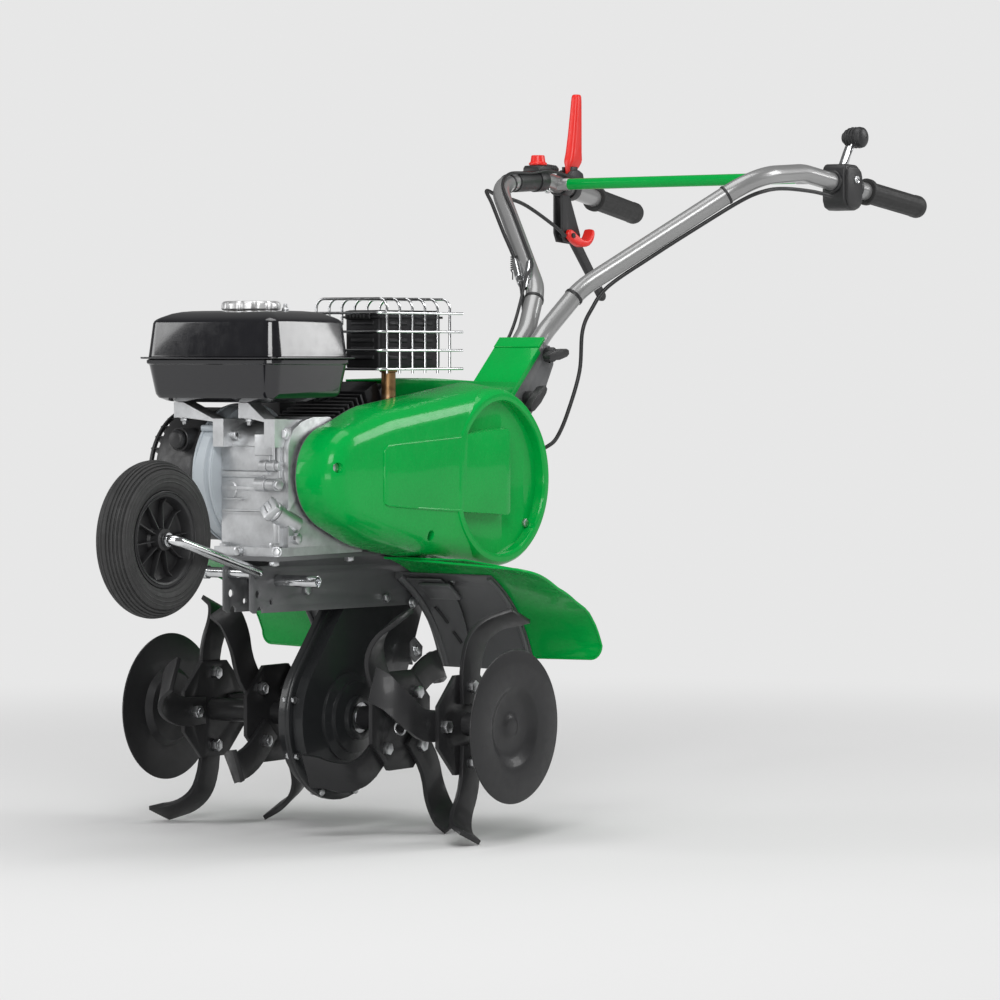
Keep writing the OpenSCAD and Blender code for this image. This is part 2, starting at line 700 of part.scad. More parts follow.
// Level ring round the tank: d in from its sides
function tank_ring(z, d) = [for (q = [[1, -1], [-1, -1], [-1, 1], [1, 1]], i = [0 : 5])
    let (a = -18 * i - 90 * (q.x > 0 ? (q.y < 0 ? 0 : 3) : (q.y < 0 ? 1 : 2)), r = tank_round - d)
    [tank_x + q.x * (tank_w / 2 - tank_round) + r * cos(a),
    tank_y + q.y * (tank_l / 2 - tank_round) + r * sin(a), z]];
// Rounded box, w inside the tank's outside
module tank_shape(w) {
    r = tank_round - w;
    skin(concat([for (a = [84, 60, 36, 12]) tank_ring(tank_z + tank_round - r * sin(a),
        tank_round - r * cos(a))],
        [for (a = [12, 36, 60, 84]) tank_ring(tank_top - tank_round + r * sin(a),
        tank_round - r * cos(a))]));
}
module fuel_tank() {
    color(black) machine() difference() {
        union() {
            tank_shape(0);
            translate([tank_x, tank_y, seam_z - 2]) linear_extrude(4) flange_outline();
            translate([cap_x, cap_y, tank_top - 6]) cylinder(r = neck_r, h = 14);
        }
        tank_shape(tank_wall);
        translate([cap_x, cap_y, tank_top - 20]) cylinder(r = neck_r - 4, h = 40);
    }
}
module flange_outline() {
    w = tank_w / 2 + flange_out - flange_round;
    l = tank_l / 2 + flange_out - flange_round;
    polygon([for (q = [[1, 1, 0], [-1, 1, 90], [-1, -1, 180], [1, -1, 270]], i = [0 : 6])
        [q[0] * w, q[1] * l] + flange_round * [cos(q[2] + 15 * i), sin(q[2] + 15 * i)]]);
}
module fuel_cap() {
    color(steel) machine() translate([cap_x, cap_y, tank_top + 0.4]) difference() {
        union() {
            cylinder(r = cap_r, h = 13);
            for (a = [0 : 45 : 315]) rotate(a) translate([cap_r - 3, 0, 0]) cylinder(r = 5, h = 12);
        }
        translate([0, 0, -1]) cylinder(r = neck_r + run, h = 9.2);
    }
}
module oil_dipstick() {
    color(castal) machine() along(filler + 26.4 * filler_dir, filler_dir) {
        translate([0, 0, -26]) cylinder(r = 9, h = 27);
        cylinder(r = 15, h = 6);
        translate([-14, -4, 5]) cube([28, 8, 13]);
    }
}
module muffler() {
    m = muffler_size;
    color(black) machine() translate([muffler_x, muffler_y, muffler_z]) difference() {
        cube(m);
        translate([2, 2, 2]) cube(m - [4, 4, 4]);
        for (j = [0, 1], i = [0 : 5]) translate([m.x - 3, 14 + j * 62, 12 + i * 11]) cube([4, 54, 4]);
        for (i = [0 : 5]) translate([12, -1, 12 + i * 11]) cube([m.x - 24, 4, 4]);
        translate([pipe_x - muffler_x, pipe_y - muffler_y, -1]) cylinder(r = pipe_r - 2.5, h = 4);
    }
}
pipe_x = 65;
pipe_y = crank_y + 163;
pipe_z = crank_z + 67;
pipe_r = 10;
module exhaust_pipe() {
    color(bronze) machine() difference() {
        union() {
            translate([pipe_x, pipe_y, pipe_z]) cylinder(r = pipe_r, h = muffler_z - pipe_z - 0.05);
            at(pipe_y, pipe_z + pipe_r) xcyl(pipe_r - 1, head_x + 0.05, pipe_x);
        }
        translate([pipe_x, pipe_y, pipe_z + 4]) cylinder(r = pipe_r - 2.5, h = muffler_z - pipe_z);
    }
}
// Wire cage over the muffler: hoops over the top, and rows that run round the front and the side
wire_r = 2;
cage_x = [-30, muffler_x + muffler_size.x + 12];
cage_y = [muffler_y - 13, muffler_y + muffler_size.y + 8];
cage_z = [muffler_z - 6, muffler_z + muffler_size.z + 16];
module muffler_guard() {
    start = cage_y[0] + 14;
    step = (cage_y[1] - start) / 5;
    side = cage_x[1] + 2 * wire_r + 0.05;
    front = cage_y[0] - 2 * wire_r - 0.05;
    color(chrome) machine() {
        for (i = [0 : 5]) translate([0, start + i * step, 0]) tube(rounded([[cage_x[0], 0, cage_z[1] - 36],
            [cage_x[0], 0, cage_z[1]], [cage_x[1], 0, cage_z[1]], [cage_x[1], 0, cage_z[0]]], 14, 4),
            wire_r, 6);
        for (k = [0 : 3]) translate([0, 0, cage_z[0] + 6 + k * 26]) tube(rounded([[cage_x[0], front, 0],
            [side, front, 0], [side, cage_y[1] + 22, 0]], 12, 4), wire_r, 6);
        for (i = [1, 4]) translate([muffler_x + 30, start + i * step, muffler_z + muffler_size.z + 0.05])
            cylinder(r = 3, h = cage_z[1] - muffler_z - muffler_size.z - wire_r - 0.1);
    }
}
module carburettor() {
    color(castal) machine() translate([-50.05, crank_y + 144, crank_z + 52]) {
        mirror([1, 0, 0]) cube([34, 34, 44]);
        translate([-18, 17, -19]) cylinder(r = 14, h = 20);
    }
}
module air_cleaner() {
    color(black) machine() translate([-84.1, crank_y + 108, crank_z + 48]) mirror([1, 0, 0]) difference() {
        cube([72, 100, 112]);
        translate([2.5, 2.5, 2.5]) cube([67, 95, 107]);
        translate([-1, 53, 26]) rotate([0, 90, 0]) cylinder(r = 12, h = 5);
    }
}

// Belt drive
cover_face = cover_x + cover_depth;
module driven_pulley() {
    r = driven_r;
    rim = r - 22;
    bore = input_r + seat;
    color(steel) machine() translate([pulley_x, input_y, input_z])
        turned([[bore, -10], [18, -10], [18, -3], [rim, -3],
        [rim, -10], [r, -10], [r, -8], [r - 11, -5], [r - 11, 5], [r, 8], [r, 10], [rim, 10], [rim, 3],
        [18, 3], [18, 10], [bore, 10]]);
}
module drive_pulley() {
    r = drive_r;
    color(steel) machine() translate([pulley_x, crank_y, crank_z])
        turned([[crank_r + seat, -10], [r, -10], [r, -8],
        [r - 11, -5], [r - 11, 5], [r, 8], [r, 10], [crank_r + seat, 10]]);
}
module drive_belt() {
    color(black) machine() xplate(pulley_x - belt_w / 2, pulley_x + belt_w / 2) difference() {
        polygon(capsule_at(drive_r + belt_out, driven_r + belt_out, belt_run, belt_angle,
            [crank_y, crank_z], 32));
        polygon(capsule_at(drive_r - belt_in, driven_r - belt_in, belt_run, belt_angle,
            [crank_y, crank_z], 32));
    }
}
module idler_arm() {
    d = [idler_y - idler_pivot_y, idler_z - idler_pivot_z];
    color(steel) machine() difference() {
        union() {
            xplate(cover_x + 4, cover_x + 9) polygon(capsule_at(12, 10, norm(d), atan2(d.y, d.x),
                [idler_pivot_y, idler_pivot_z]));
            at(idler_y, idler_z) xcyl(6, cover_x + 4.5, pulley_x + 9);
            at(idler_y, idler_z) xcyl(idler_r, pulley_x - 7, pulley_x + 7);
        }
        at(idler_pivot_y, idler_pivot_z) xcyl(6 + run, cover_x, cover_x + 12);
    }
}
dish_r = ring_r - 17;
dish_depth = 14;
well_depth = 12;
// Cover screws: place, and how deep under the cover's face their heads sit
cover_posts = [[crank_y - 52, crank_z + 12.6, well_depth], [30, crank_z - 80, well_depth],
    [input_y + 76, input_z - 64, dish_depth]];
module belt_backplate() {
    color(charcoal) machine() difference() {
        union() {
            xplate(back_x + 0.05, cover_x) polygon(cover_line(0));
            at(idler_pivot_y, idler_pivot_z) xcyl(6, cover_x - 1, cover_x + 12);
            for (p = cover_posts) at(p.x, p.y) xcyl(4.5, cover_x - 1, cover_face - p.z - cover_t - 0.05);
        }
        at(crank_y, crank_z) xcyl(crank_r + 3, back_x - 1, cover_x + 1);
        at(input_y, input_z) xcyl(input_r + 3, back_x - 1, cover_x + 1);
        for (p = cover_posts) at(p.x, p.y) xcyl(2.6, cover_face - p.z - 24, cover_face);
    }
}
// Belt cover: rounded shell, a dish in its big end with a rim round it, and a raised panel across
cover_round = 28;
cover_curve = 24;
rim_rise = 1.5;
panel_line = [[crank_y + 47, 28], [crank_y + 50, 33], [crank_y + 56, 36.5], [input_y + 12, 53],
    [input_y + 18, 49],
    [input_y + 18, -59], [input_y + 12, -63], [crank_y + 56, -37.5], [crank_y + 50, -35],
    [crank_y + 47, -31]];
function cover_ring(x, g) = let (q = cover_line(g)) [for (i = [len(q) - 1 : -1 : 0]) [x, q[i].x, q[i].y]];
module cover_shell(x0, x1, g) {
    skin(concat([cover_ring(x0, g)], [for (a = [0 : 18 : 90])
        cover_ring(x1 - cover_curve * (1 - sin(a)), g - cover_round * (1 - cos(a)))]));
}
// Raised panel, shrunk towards its middle
module cover_panel(x0, x1, shrink) {
    middle = [(crank_y + input_y + 65) / 2, crank_z - 5];
    xplate(x0, x1) polygon([for (p = panel_line) let (d = [p.x, p.y + crank_z] - middle)
        middle + [d.x * (1 - shrink / 150), d.y * (1 - shrink / 50)]]);
}
module belt_cover() {
    color(green) machine() difference() {
        union() {
            difference() {
                union() {
                    cover_shell(cover_x + 0.05, cover_face, 0);
                    cover_rim();
                }
                difference() {
                    cover_shell(cover_x - 1, cover_face - cover_t, -cover_t);
                    at(input_y, input_z) xcyl(dish_r + cover_t, cover_face - dish_depth - cover_t,
                        cover_face);
                    for (p = cover_posts) at(p.x, p.y) xcyl(9.2, cover_face - p.z - cover_t, cover_face);
                }
                cover_rim_hollow();
                at(input_y, input_z) xcyl(dish_r, cover_face - dish_depth, cover_face + 5);
                for (p = cover_posts) at(p.x, p.y) {
                    xcyl(3.1, cover_face - p.z - 4, cover_face + 5);
                    xcyl(7.2, cover_face - p.z, cover_face + 5);
                }
            }
            cover_panel(cover_face - dish_depth - 0.5, cover_face + rim_rise, 0);
        }
        cover_panel(cover_face - dish_depth - cover_t - 1, cover_face + rim_rise - cover_t, cover_t);
    }
}
module cover_rim() {
    at(input_y, input_z) turned([[dish_r - cover_t, cover_face - 22], [ring_r - 0.1, cover_face - 22],
        [ring_r - 0.1, cover_face - 8], [ring_r - 2.5, cover_face - 2], [ring_r - 6, cover_face + rim_rise],
        [dish_r + 2, cover_face + rim_rise], [dish_r - cover_t, cover_face - 4]]);
}
module cover_rim_hollow() {
    at(input_y, input_z) turned([[dish_r + cover_t, cover_face - 23], [ring_r - 2, cover_face - 23],
        [ring_r - 2, cover_face - 8.5], [ring_r - 4.4, cover_face - 2.8], [ring_r - 6.6, cover_face - 0.5],
        [dish_r + 2.6, cover_face - 0.5]]);
}
module frame_fasteners() {
    color(steel) machine() {
        for (p = case_bolts) at(p.x, p.y) {
            hex_x(5, flange_t + 0.05, flange_t + 4.5);
            xcyl(3, -flange_t - 4, flange_t + 1);
            hex_x(5, -flange_t - 4.5, -flange_t - 0.05);
        }
        both_sides() {
            for (p = wall_bolts) at(p.x, p.y) {
                xcyl(4, frame_x0 + 0.1, frame_x1 + 1);
                hex_x(7, frame_x1 + 0.05, frame_x1 + 6);
            }
            for (p = column_bolts) at(p.x, p.y) {
                xcyl(4, frame_x0 + 0.1, column_x1 + 1);
                hex_x(7, column_x1 + 0.05, column_x1 + 6);
            }
            fender_bolt_place() {
                translate([0, 0, -5.5]) cylinder(r = 4, h = 7);
                translate([0, 0, 0.05]) cylinder(r = 8, h = 5, $fn = 6);
            }
        }
        for (p = engine_bolts) translate([p.x, p.y, 0]) {
            translate([0, 0, base_z + flange_h + 0.05]) cylinder(r = 7.5, h = 6, $fn = 6);
            translate([0, 0, bed_z - 7]) cylinder(r = 4, h = bed_t + 20);
            translate([0, 0, bed_z - 6.05]) cylinder(r = 7.4, h = 6, $fn = 6);
        }
        for (p = cover_posts) at(p.x, p.y) {
            xcyl(2.5, cover_face - p.z - 20, cover_face - p.z + 1);
            xcyl(6, cover_face - p.z + 0.05, cover_face - p.z + 3.5);
        }
        at(crank_y - 62, base_z + 24) hex_x(8, pto_x + 8.05, pto_x + 17);
    }
}

// Sheets over the tines
fender_bolt_deg = 56;
module fender_bolt_place() {
    d = [0, cos(fender_bolt_deg), sin(fender_bolt_deg)];
    along([110, 0, axle_z] + fender_r * d, d) children();
}
module rear_guards() {
    color(charcoal) machine() both_sides() difference() {
        at(0, axle_z) xplate(frame_x1 + 0.05, guard_x1) polygon(arc_band(guard_r - 2, guard_r, 15, 62));
        fender_bolt_place() translate([0, 0, -12]) cylinder(r = 4.4, h = 20);
    }
}
module fenders() {
    color(green) machine() both_sides() difference() {
        at(0, axle_z) {
            xplate(fender_x0, fender_x1) polygon(arc_band(fender_r - fender_t, fender_r, 45, 79));
            xplate(guard_x1 + 2, fender_x1) polygon(arc_band(fender_r - fender_t, fender_r, 20, 46));
        }
        fender_bolt_place() translate([0, 0, -12]) cylinder(r = 4.4, h = 20);
    }
}

// Handle column
module column_bracket() {
    color(charcoal) machine() difference() {
        union() {
            both_sides() {
                at(0, axle_z) xplate(column_x0, column_x1)
                    polygon([[146, 182], [184, 148], [330, 310], [440, 428],
                    [466, 452], [490, 492], [490, 506], [480, 520], column_at(12, sheet_t + 0.6),
                    column_at(0, sheet_t + 0.05),
                    column_at(-column_low + 2, sheet_t + 0.05), [150, 226]]);
                for (p = column_bolts) at(p.x, p.y) xcyl(10, frame_x1 + 0.05, column_x0 + eps);
            }
            at(0, axle_z) xplate(-column_x0 - eps, column_x0 + eps)
                polygon([[248.5, 222.5], [328.5, 311.3], [325.5, 314], [245.5, 225.2]]);
        }
        at(pivot_y, pivot_z) xcyl(knob_bolt_r + run, -60, 60);
        at(pivot_y, pivot_z) xplate(-60, 60)
            polygon(arc_slot(slot_run, slot_bolt_r + 0.8, slot_deg - tilt_down - tilt_end,
            slot_deg + tilt_end));
        for (p = column_bolts) at(p.x, p.y) xcyl(4.3, -60, 60);
    }
}
// Folded sheet on the front of the column, with a lip down each side
// Hood that runs forward from the column over the gearbox: its top line, above the axle
hood_line = [[76, 472], [170, 473.5], [300, 468], [394.8, 466.4]];
module column_cover() {
    color(green) machine() at(0, axle_z) {
        xplate(-column_x1 - sheet_t, column_x1 + sheet_t)
            polygon([column_at(-column_low, 0), column_at(0, 0),
            column_at(column_top, 0.8), column_at(column_top, sheet_t + 0.8), column_at(0, sheet_t),
            column_at(-column_low, sheet_t)]);
        both_sides() xplate(column_x1 + 0.05, column_x1 + sheet_t) polygon([column_at(-column_low, 1),
            column_at(0, 1), column_at(0, 9), column_at(-column_low, 9)]);
        xplate(-column_x1 - sheet_t, column_x1 + sheet_t)
            polygon(concat(hood_line, [for (i = [3 : -1 : 0]) hood_line[i] - [i == 3 ? 2.6 : 0, sheet_t]]));
        both_sides() xplate(column_x1 + 0.05, column_x1 + sheet_t)
            polygon(concat(hood_line - [for (p = hood_line) [0, 1]], [[372, 447], [330, 432], [80, 432]]));
    }
}
module handle_clamp() {
    d = bar_path[1] - bar_path[0];
    color(charcoal) machine() difference() {
        at(0, axle_z) xplate(-column_x0 + 0.5, column_x0 - 0.5)
            polygon([column_at(26, 11), column_at(-28, 11),
            [404, 452], [402, 440], [412, 428], [428, 428], [484, 488], [488, 500], [484, 514]]);
        both_sides() bar(bar_path[0] - 0.01 * d, bar_path[0] + 2 * d, tube_r + 0.15);
        at(pivot_y, pivot_z) xcyl(knob_bolt_r + run, -60, 60);
        at(slot_y, slot_z) xcyl(slot_bolt_r + run, -60, 60);
    }
}
// Bolt across the column with a wing handle on the left
module wing_knob(r, turn) {
    xcyl(r, -column_x1 - 12, column_x1 + 14);
    hex_x(9, -column_x1 - 9, -column_x1 - 0.4);
    xcyl(11, column_x1 + 0.4, column_x1 + 12);
    rotate([turn, 0, 0]) xplate(column_x1 + 11, column_x1 + 23)
        polygon([[-26, -3], [-20, -6], [0, -8], [20, -6],
        [26, -3], [26, 3], [20, 6], [0, 8], [-20, 6], [-26, 3]]);
}
module lower_wing_knob() {
    color(black) machine() at(pivot_y, pivot_z) wing_knob(knob_bolt_r, 40);
}
module upper_wing_knob() {
    color(black) machine() at(slot_y, slot_z) wing_knob(slot_bolt_r, 8);
}

// Handlebar
module handle_tubes() {
    color(tube_grey) machine() difference() {
        both_sides() tube(rounded(bar_path, bar_bend, 5), tube_r, 16);
        at(slot_y, slot_z) xcyl(slot_bolt_r + run, -60, 60);
    }
}
module cross_bar() {
    x = on_bar(cross_y).x - tube_r / 2;
    color(green) machine() difference() {
        at(cross_y, on_bar(cross_y).z - 2) xcyl(9, -x, x);
        both_sides() bar(on_bar(cross_y - 25), on_bar(cross_y + 25), tube_r + 0.05);
    }
}
module handle_grips() {
    start = bar_end - grip_l * grip_dir;
    color(black) machine() both_sides() difference() {
        union() {
            bar(start, bar_end + grip_cap * grip_dir, grip_r);
            bar(start - 3 * grip_dir, start + 6 * grip_dir, grip_r + 3);
        }
        bar(start - 10 * grip_dir, bar_end + 0.2 * grip_dir, tube_r + 0.15);
    }
}
// Places of the controls on the right handle
throttle_at = mirrored(on_bar(throttle_y));
clutch_at = mirrored(on_bar(clutch_y));
reverse_at = mirrored(on_bar(reverse_y));
lever_pivot = clutch_at + [0, lever_back, -lever_drop];
latch_pivot = clutch_at + [0, latch_back, -latch_drop];
reverse_pivot = reverse_at + [0, 0, tube_r + 15];
clamp_r = tube_r + 4;
module bar_clamp(p, y, half) {
    d = mirrored(bar_dir(y));
    difference() {
        union() {
            bar(p - half * d, p + half * d, clamp_r);
            children();
        }
        bar(p - 40 * d, p + 40 * d, tube_r + 0.15);
    }
}
module lever_clamps() {
    color(black) machine() {
        bar_clamp(throttle_at, throttle_y, 11) {
            translate(throttle_at) cylinder(r = 13, h = tube_r + 10);
            translate(throttle_at) cylinder(r = 4, h = tube_r + 22);
        }
        bar_clamp(clutch_at, clutch_y, 9) translate(clutch_at) {
            for (x = [-9, 5.3]) xplate(x, x + 3.7) polygon([[-9, -10], [9, -10],
                [lever_back + 9, -lever_drop + 6],
                [lever_back + 6, -lever_drop - 9], [latch_back - 8, -latch_drop - 10],
                [-9, -latch_drop + 4]]);
            at(lever_back, -lever_drop) xcyl(4, -8, 8);
            at(latch_back, -latch_drop) xcyl(4, -8, 22);
        }
        bar_clamp(reverse_at, reverse_y, 8) translate(reverse_at) {
            for (x = [-10, 6.3]) xplate(x, x + 3.7) polygon([[-8, 8], [8, 8], [8, tube_r + 22],
                [-8, tube_r + 22]]);
            at(0, tube_r + 15) xcyl(4, -9, 9);
        }
    }
}
module clutch_lever() {
    color(black) machine() translate(lever_pivot) difference() {
        xplate(-4.8, 4.8) polygon(capsule_at(10, 8, 126, -47, [0, 0]));
        xcyl(4 + run, -6, 6);
    }
}
module safety_latch() {
    color(red) machine() translate(latch_pivot) difference() {
        xplate(9.4, 19) difference() {
            union() {
                polygon(arc_band(0.5, 9, 0, 350, 35));
                translate([24, 2]) polygon(arc_band(13, 24, 140, 385, 30));
            }
            circle(r = 1);
        }
        xcyl(4 + run, 8, 24);
    }
}
module reverse_lever() {
    color(red) machine() translate(reverse_pivot) difference() {
        xplate(-5.9, 5.9) polygon([[-6, -6], [6, -6], [11, 4], [12, 20], [17, 118], [14, 124],
            [4, 124], [1, 118], [-11, 20], [-11, 4]]);
        xcyl(4 + run, -7, 7);
    }
}
module throttle_knob() {
    color(red) machine() translate(throttle_at + [0, 0, tube_r + 10.3]) difference() {
        cylinder(r = 15, h = 16, $fn = 8);
        translate([0, 0, -1]) cylinder(r = 4 + run, h = 13.3);
    }
}
selector_at = on_bar(selector_y);
selector_rise = 24;
module selector_box() {
    d = bar_dir(selector_y);
    s = selector_size / 2;
    color(black) machine() {
        difference() {
            translate(selector_at) box([-s.x, s.x], [-s.y, s.y], [-s.z - 4, s.z - 4]);
            bar(selector_at - 60 * d, selector_at + 60 * d, tube_r + 0.15);
            translate(selector_at) box([-6.3, 6.3], [-22, 22], [tube_r + 1.5, s.z]);
        }
        translate(selector_at) at(0, selector_rise) xcyl(3, -6.8, 6.8);
    }
}
module gear_lever() {
    color(black) machine() translate(selector_at + [0, 0, selector_rise]) difference() {
        union() {
            xcyl(7.5, -5.9, 5.9);
            bar([0, 0, 0], [0, 38, 51], 4);
            at(38, 51) xcyl(17, -20, 20);
        }
        xcyl(3 + run, -7, 7);
    }
}
// Cable routes, hand-chosen
clutch_route = [[-230.7, 926, bar_z - 84], [-232, 890, bar_z - 66], [-240, 820, bar_z - 36],
    [-248, 760, bar_z - 24],
    [-243, 721, bar_z - 18], [-209, 687, bar_z - 40], [-153, 636, bar_z - 86], [-97, 587, bar_z - 132],
    [-58, 546, bar_z - 172], [-46, 536, bar_z - 230], [-46, 526, bar_z - 280], [-45, 500, bar_z - 340],
    [-44, 470, bar_z - 372]];
reverse_route = [[-230, 953.6, bar_z + 9], [-228, 932, bar_z + 12], [-225, 900, bar_z + 16],
    [-222.6, 858, bar_z + 18], [-225, 820, bar_z + 13], [-225, 760, bar_z + 10], [-206, 712, bar_z - 11],
    [-156, 667, bar_z - 54], [-106, 621, bar_z - 97], [-57, 572, bar_z - 138], [-51, 548, bar_z - 158.5],
    [-43, 524, bar_z - 190], [-36.5, 502, bar_z - 217], [-33, 485.5, bar_z - 236.5],
    [-31, 470, bar_z - 252.5], [-31, 451, bar_z - 270.4]];
shift_route = [[250, 950, bar_z - 30], [244, 900, bar_z - 24], [240, 820, bar_z - 22],
    [240, 760, bar_z - 28],
    [220, 727, bar_z - 43], [169.5, 680.5, bar_z - 84.5], [120, 635, bar_z - 127], [71, 590, bar_z - 172],
    [54, 570, bar_z - 206], [49, 552, bar_z - 240], [49, 544, bar_z - 300], [47, 516, bar_z - 360],
    [46, 490, bar_z - 396]];
module control_cables() {
    color(black) machine() {
        cable(clutch_route, 3);
        cable(reverse_route, 2.5);
        cable(shift_route, 3);
    }
}

// Transport wheel
module wheel_arm() {
    p = [arm_x, arm_pivot_y, arm_pivot_z];
    q = [arm_x, wheel_y, wheel_z];
    color(chrome) machine() {
        at(arm_pivot_y, arm_pivot_z) xcyl(arm_r, -60, arm_x);
        at(arm_pivot_y, arm_pivot_z) xcyl(arm_r + 2, -66, -58);
        translate(p) sphere(r = arm_r + 1.5);
        bar(p, q, arm_r);
        translate(q) sphere(r = arm_r + 1.5);
        translate([wheel_x, wheel_y, wheel_z]) {
            xcyl(arm_r, -hub_half - 10, arm_x - wheel_x);
            xcyl(arm_r + 3, hub_half + 0.4, arm_x - wheel_x - 2);
            hex_x(10, -hub_half - 8, -hub_half - 0.4);
        }
    }
}
rim_r = wheel_r - 2 * tyre_r + 8;
rim_lip = 2;
module wheel_rim() {
    color(black) machine() translate([wheel_x, wheel_y, wheel_z]) difference() {
        union() {
            xcyl(15, -hub_half, hub_half);
            turned([[rim_r - 6, -19], [rim_r + rim_lip, -21], [rim_r + rim_lip, -18], [rim_r, -16],
                [rim_r, 16], [rim_r + rim_lip, 18], [rim_r + rim_lip, 21], [rim_r - 6, 19]]);
            xcyl(rim_r - 3, -4, -1);
            for (a = [0 : 36 : 324]) rotate([a, 0, 0]) box([-2, 8], [12, rim_r - 3], [-1.5, 1.5]);
        }
        xcyl(arm_r + run, -hub_half - 1, hub_half + 1);
    }
}
module tyre() {
    middle = wheel_r - tyre_r;
    open_deg = acos((rim_r + rim_lip + 0.1 - middle) / tyre_r);
    color(black) machine() translate([wheel_x, wheel_y, wheel_z])
        turned([for (i = [0 : 24]) let (a = open_deg * (i / 12 - 1))
        [middle, 0] + tyre_r * [cos(a), sin(a)]]);
}

chassis_frame();
case_left();
case_right();
gearbox_bearings();
drive_chains();
tine_shaft();
tine_hubs();
tines_left();
tines_right();
rotor_fasteners();
side_discs();
input_shaft();
driven_pulley();
countershaft();
crankcase();
crankcase_cover();
engine_block();
rocker_cover();
blower_housing();
recoil_cover();
starter_grip();
fuel_tank();
fuel_cap();
muffler();
muffler_guard();
exhaust_pipe();
carburettor();
air_cleaner();
spark_plug();
oil_dipstick();
crankshaft();
flywheel();
drive_pulley();
belt_backplate();
belt_cover();
drive_belt();
idler_arm();
frame_fasteners();
rear_guards();
fenders();
column_bracket();
column_cover();
handle_clamp();
handle_tubes();
cross_bar();
handle_grips();
lower_wing_knob();
upper_wing_knob();
lever_clamps();
selector_box();
control_cables();
clutch_lever();
safety_latch();
reverse_lever();
throttle_knob();
gear_lever();
wheel_arm();
wheel_rim();
tyre();
stop_tube();
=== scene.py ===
"""Looks of a walk-behind garden tiller: finishes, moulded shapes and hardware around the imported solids."""

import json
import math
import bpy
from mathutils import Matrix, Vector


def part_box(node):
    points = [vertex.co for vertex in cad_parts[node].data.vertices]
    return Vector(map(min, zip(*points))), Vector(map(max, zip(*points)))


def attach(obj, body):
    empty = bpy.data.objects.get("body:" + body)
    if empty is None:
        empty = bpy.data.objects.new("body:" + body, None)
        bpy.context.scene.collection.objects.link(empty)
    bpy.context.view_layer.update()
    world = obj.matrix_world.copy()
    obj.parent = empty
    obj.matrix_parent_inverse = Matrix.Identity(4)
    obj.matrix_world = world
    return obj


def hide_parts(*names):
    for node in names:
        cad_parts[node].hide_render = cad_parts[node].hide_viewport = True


bl_info = {
    "name": "Garden tiller",
    "version": (1, 0, 0),
    "blender": (4, 5, 0),
    "location": "3D View > Sidebar > Tiller",
    "description": "Dresses the solids of a garden tiller with finishes, moulded shapes and small hardware",
    "category": "Object",
}

import bpy
from mathutils import Matrix, Vector

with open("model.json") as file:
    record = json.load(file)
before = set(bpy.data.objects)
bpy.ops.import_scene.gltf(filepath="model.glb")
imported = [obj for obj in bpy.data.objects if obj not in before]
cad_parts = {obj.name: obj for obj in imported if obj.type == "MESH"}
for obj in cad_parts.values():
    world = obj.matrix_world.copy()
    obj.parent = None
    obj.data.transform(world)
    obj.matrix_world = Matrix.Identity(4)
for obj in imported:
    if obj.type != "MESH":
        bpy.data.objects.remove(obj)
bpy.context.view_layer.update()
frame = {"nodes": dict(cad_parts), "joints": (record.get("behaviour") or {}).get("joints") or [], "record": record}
NODES = frame["nodes"]
BODY_OF = {n: b for b, ns in frame["record"]["behaviour"]["bodies"].items() for n in ns}
SLOT_OF = {s["node"]: s["material_slot"] for s in frame["record"]["subparts"]}
JOINTS = {j["name"]: j for j in frame["joints"]}


def joint_at(name):
    """Place of a joint, in the frame's metres."""
    return Vector(JOINTS[name]["pos_m"])


AXLE = joint_at("tine_spin")
CRANK = joint_at("crank_spin")
INPUT = joint_at("input_spin")
WHEEL = joint_at("wheel_roll")


# Modelling tools: pieces are modelled in millimetres, counted from the ground below the tine axle

MILLIMETRE = 0.001
MILLIMETRES = Matrix.Translation((0, AXLE.y, 0)) @ Matrix.Scale(MILLIMETRE, 4)


def spot(place):
    """Place of the frame in the millimetres of the pieces."""
    return MILLIMETRES.inverted() @ Vector(place)


def box_of(node):
    """Lowest and highest corner of a solid."""
    low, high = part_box(node)
    return spot(low), spot(high)


def object_mode():
    """Leaves edit mode."""
    if bpy.context.object and bpy.context.object.mode != "OBJECT":
        bpy.ops.object.mode_set(mode="OBJECT")


def pick(piece):
    """Makes one piece the only selected and active one."""
    object_mode()
    bpy.ops.object.select_all(action="DESELECT")
    piece.select_set(True)
    bpy.context.view_layer.objects.active = piece


def edit(piece):
    """Opens one piece in edit mode with everything selected."""
    pick(piece)
    bpy.ops.object.mode_set(mode="EDIT")
    bpy.ops.mesh.select_all(action="SELECT")


def new_mesh(name, points, edges=(), faces=()):
    """New piece from points and what joins them."""
    mesh = bpy.data.meshes.new(name)
    mesh.from_pydata([tuple(p) for p in points], list(edges), list(faces))
    piece = bpy.data.objects.new(name, mesh)
    bpy.context.scene.collection.objects.link(piece)
    pick(piece)
    return piece


def tidy(piece, merge=0.02):
    """Merges doubles and turns the faces outwards."""
    edit(piece)
    bpy.ops.mesh.remove_doubles(threshold=merge)
    bpy.ops.mesh.normals_make_consistent(inside=False)
    bpy.ops.object.mode_set(mode="OBJECT")
    return piece


def soften(piece, width, segments=2, angle=30):
    """Rounds the sharp edges and smooths the rest."""
    if width > 0:
        pick(piece)
        round_over = piece.modifiers.new("round_over", "BEVEL")
        round_over.width = width
        round_over.segments = segments
        round_over.limit_method = "ANGLE"
        round_over.angle_limit = math.radians(angle)
        round_over.miter_outer = "MITER_ARC"
        bpy.ops.object.modifier_apply(modifier=round_over.name)
    smooth(piece, angle + 8)
    return piece


def smooth(piece, angle=38):
    """Smooth shading up to an angle between faces."""
    pick(piece)
    bpy.ops.object.shade_smooth_by_angle(angle=math.radians(angle))
    return piece


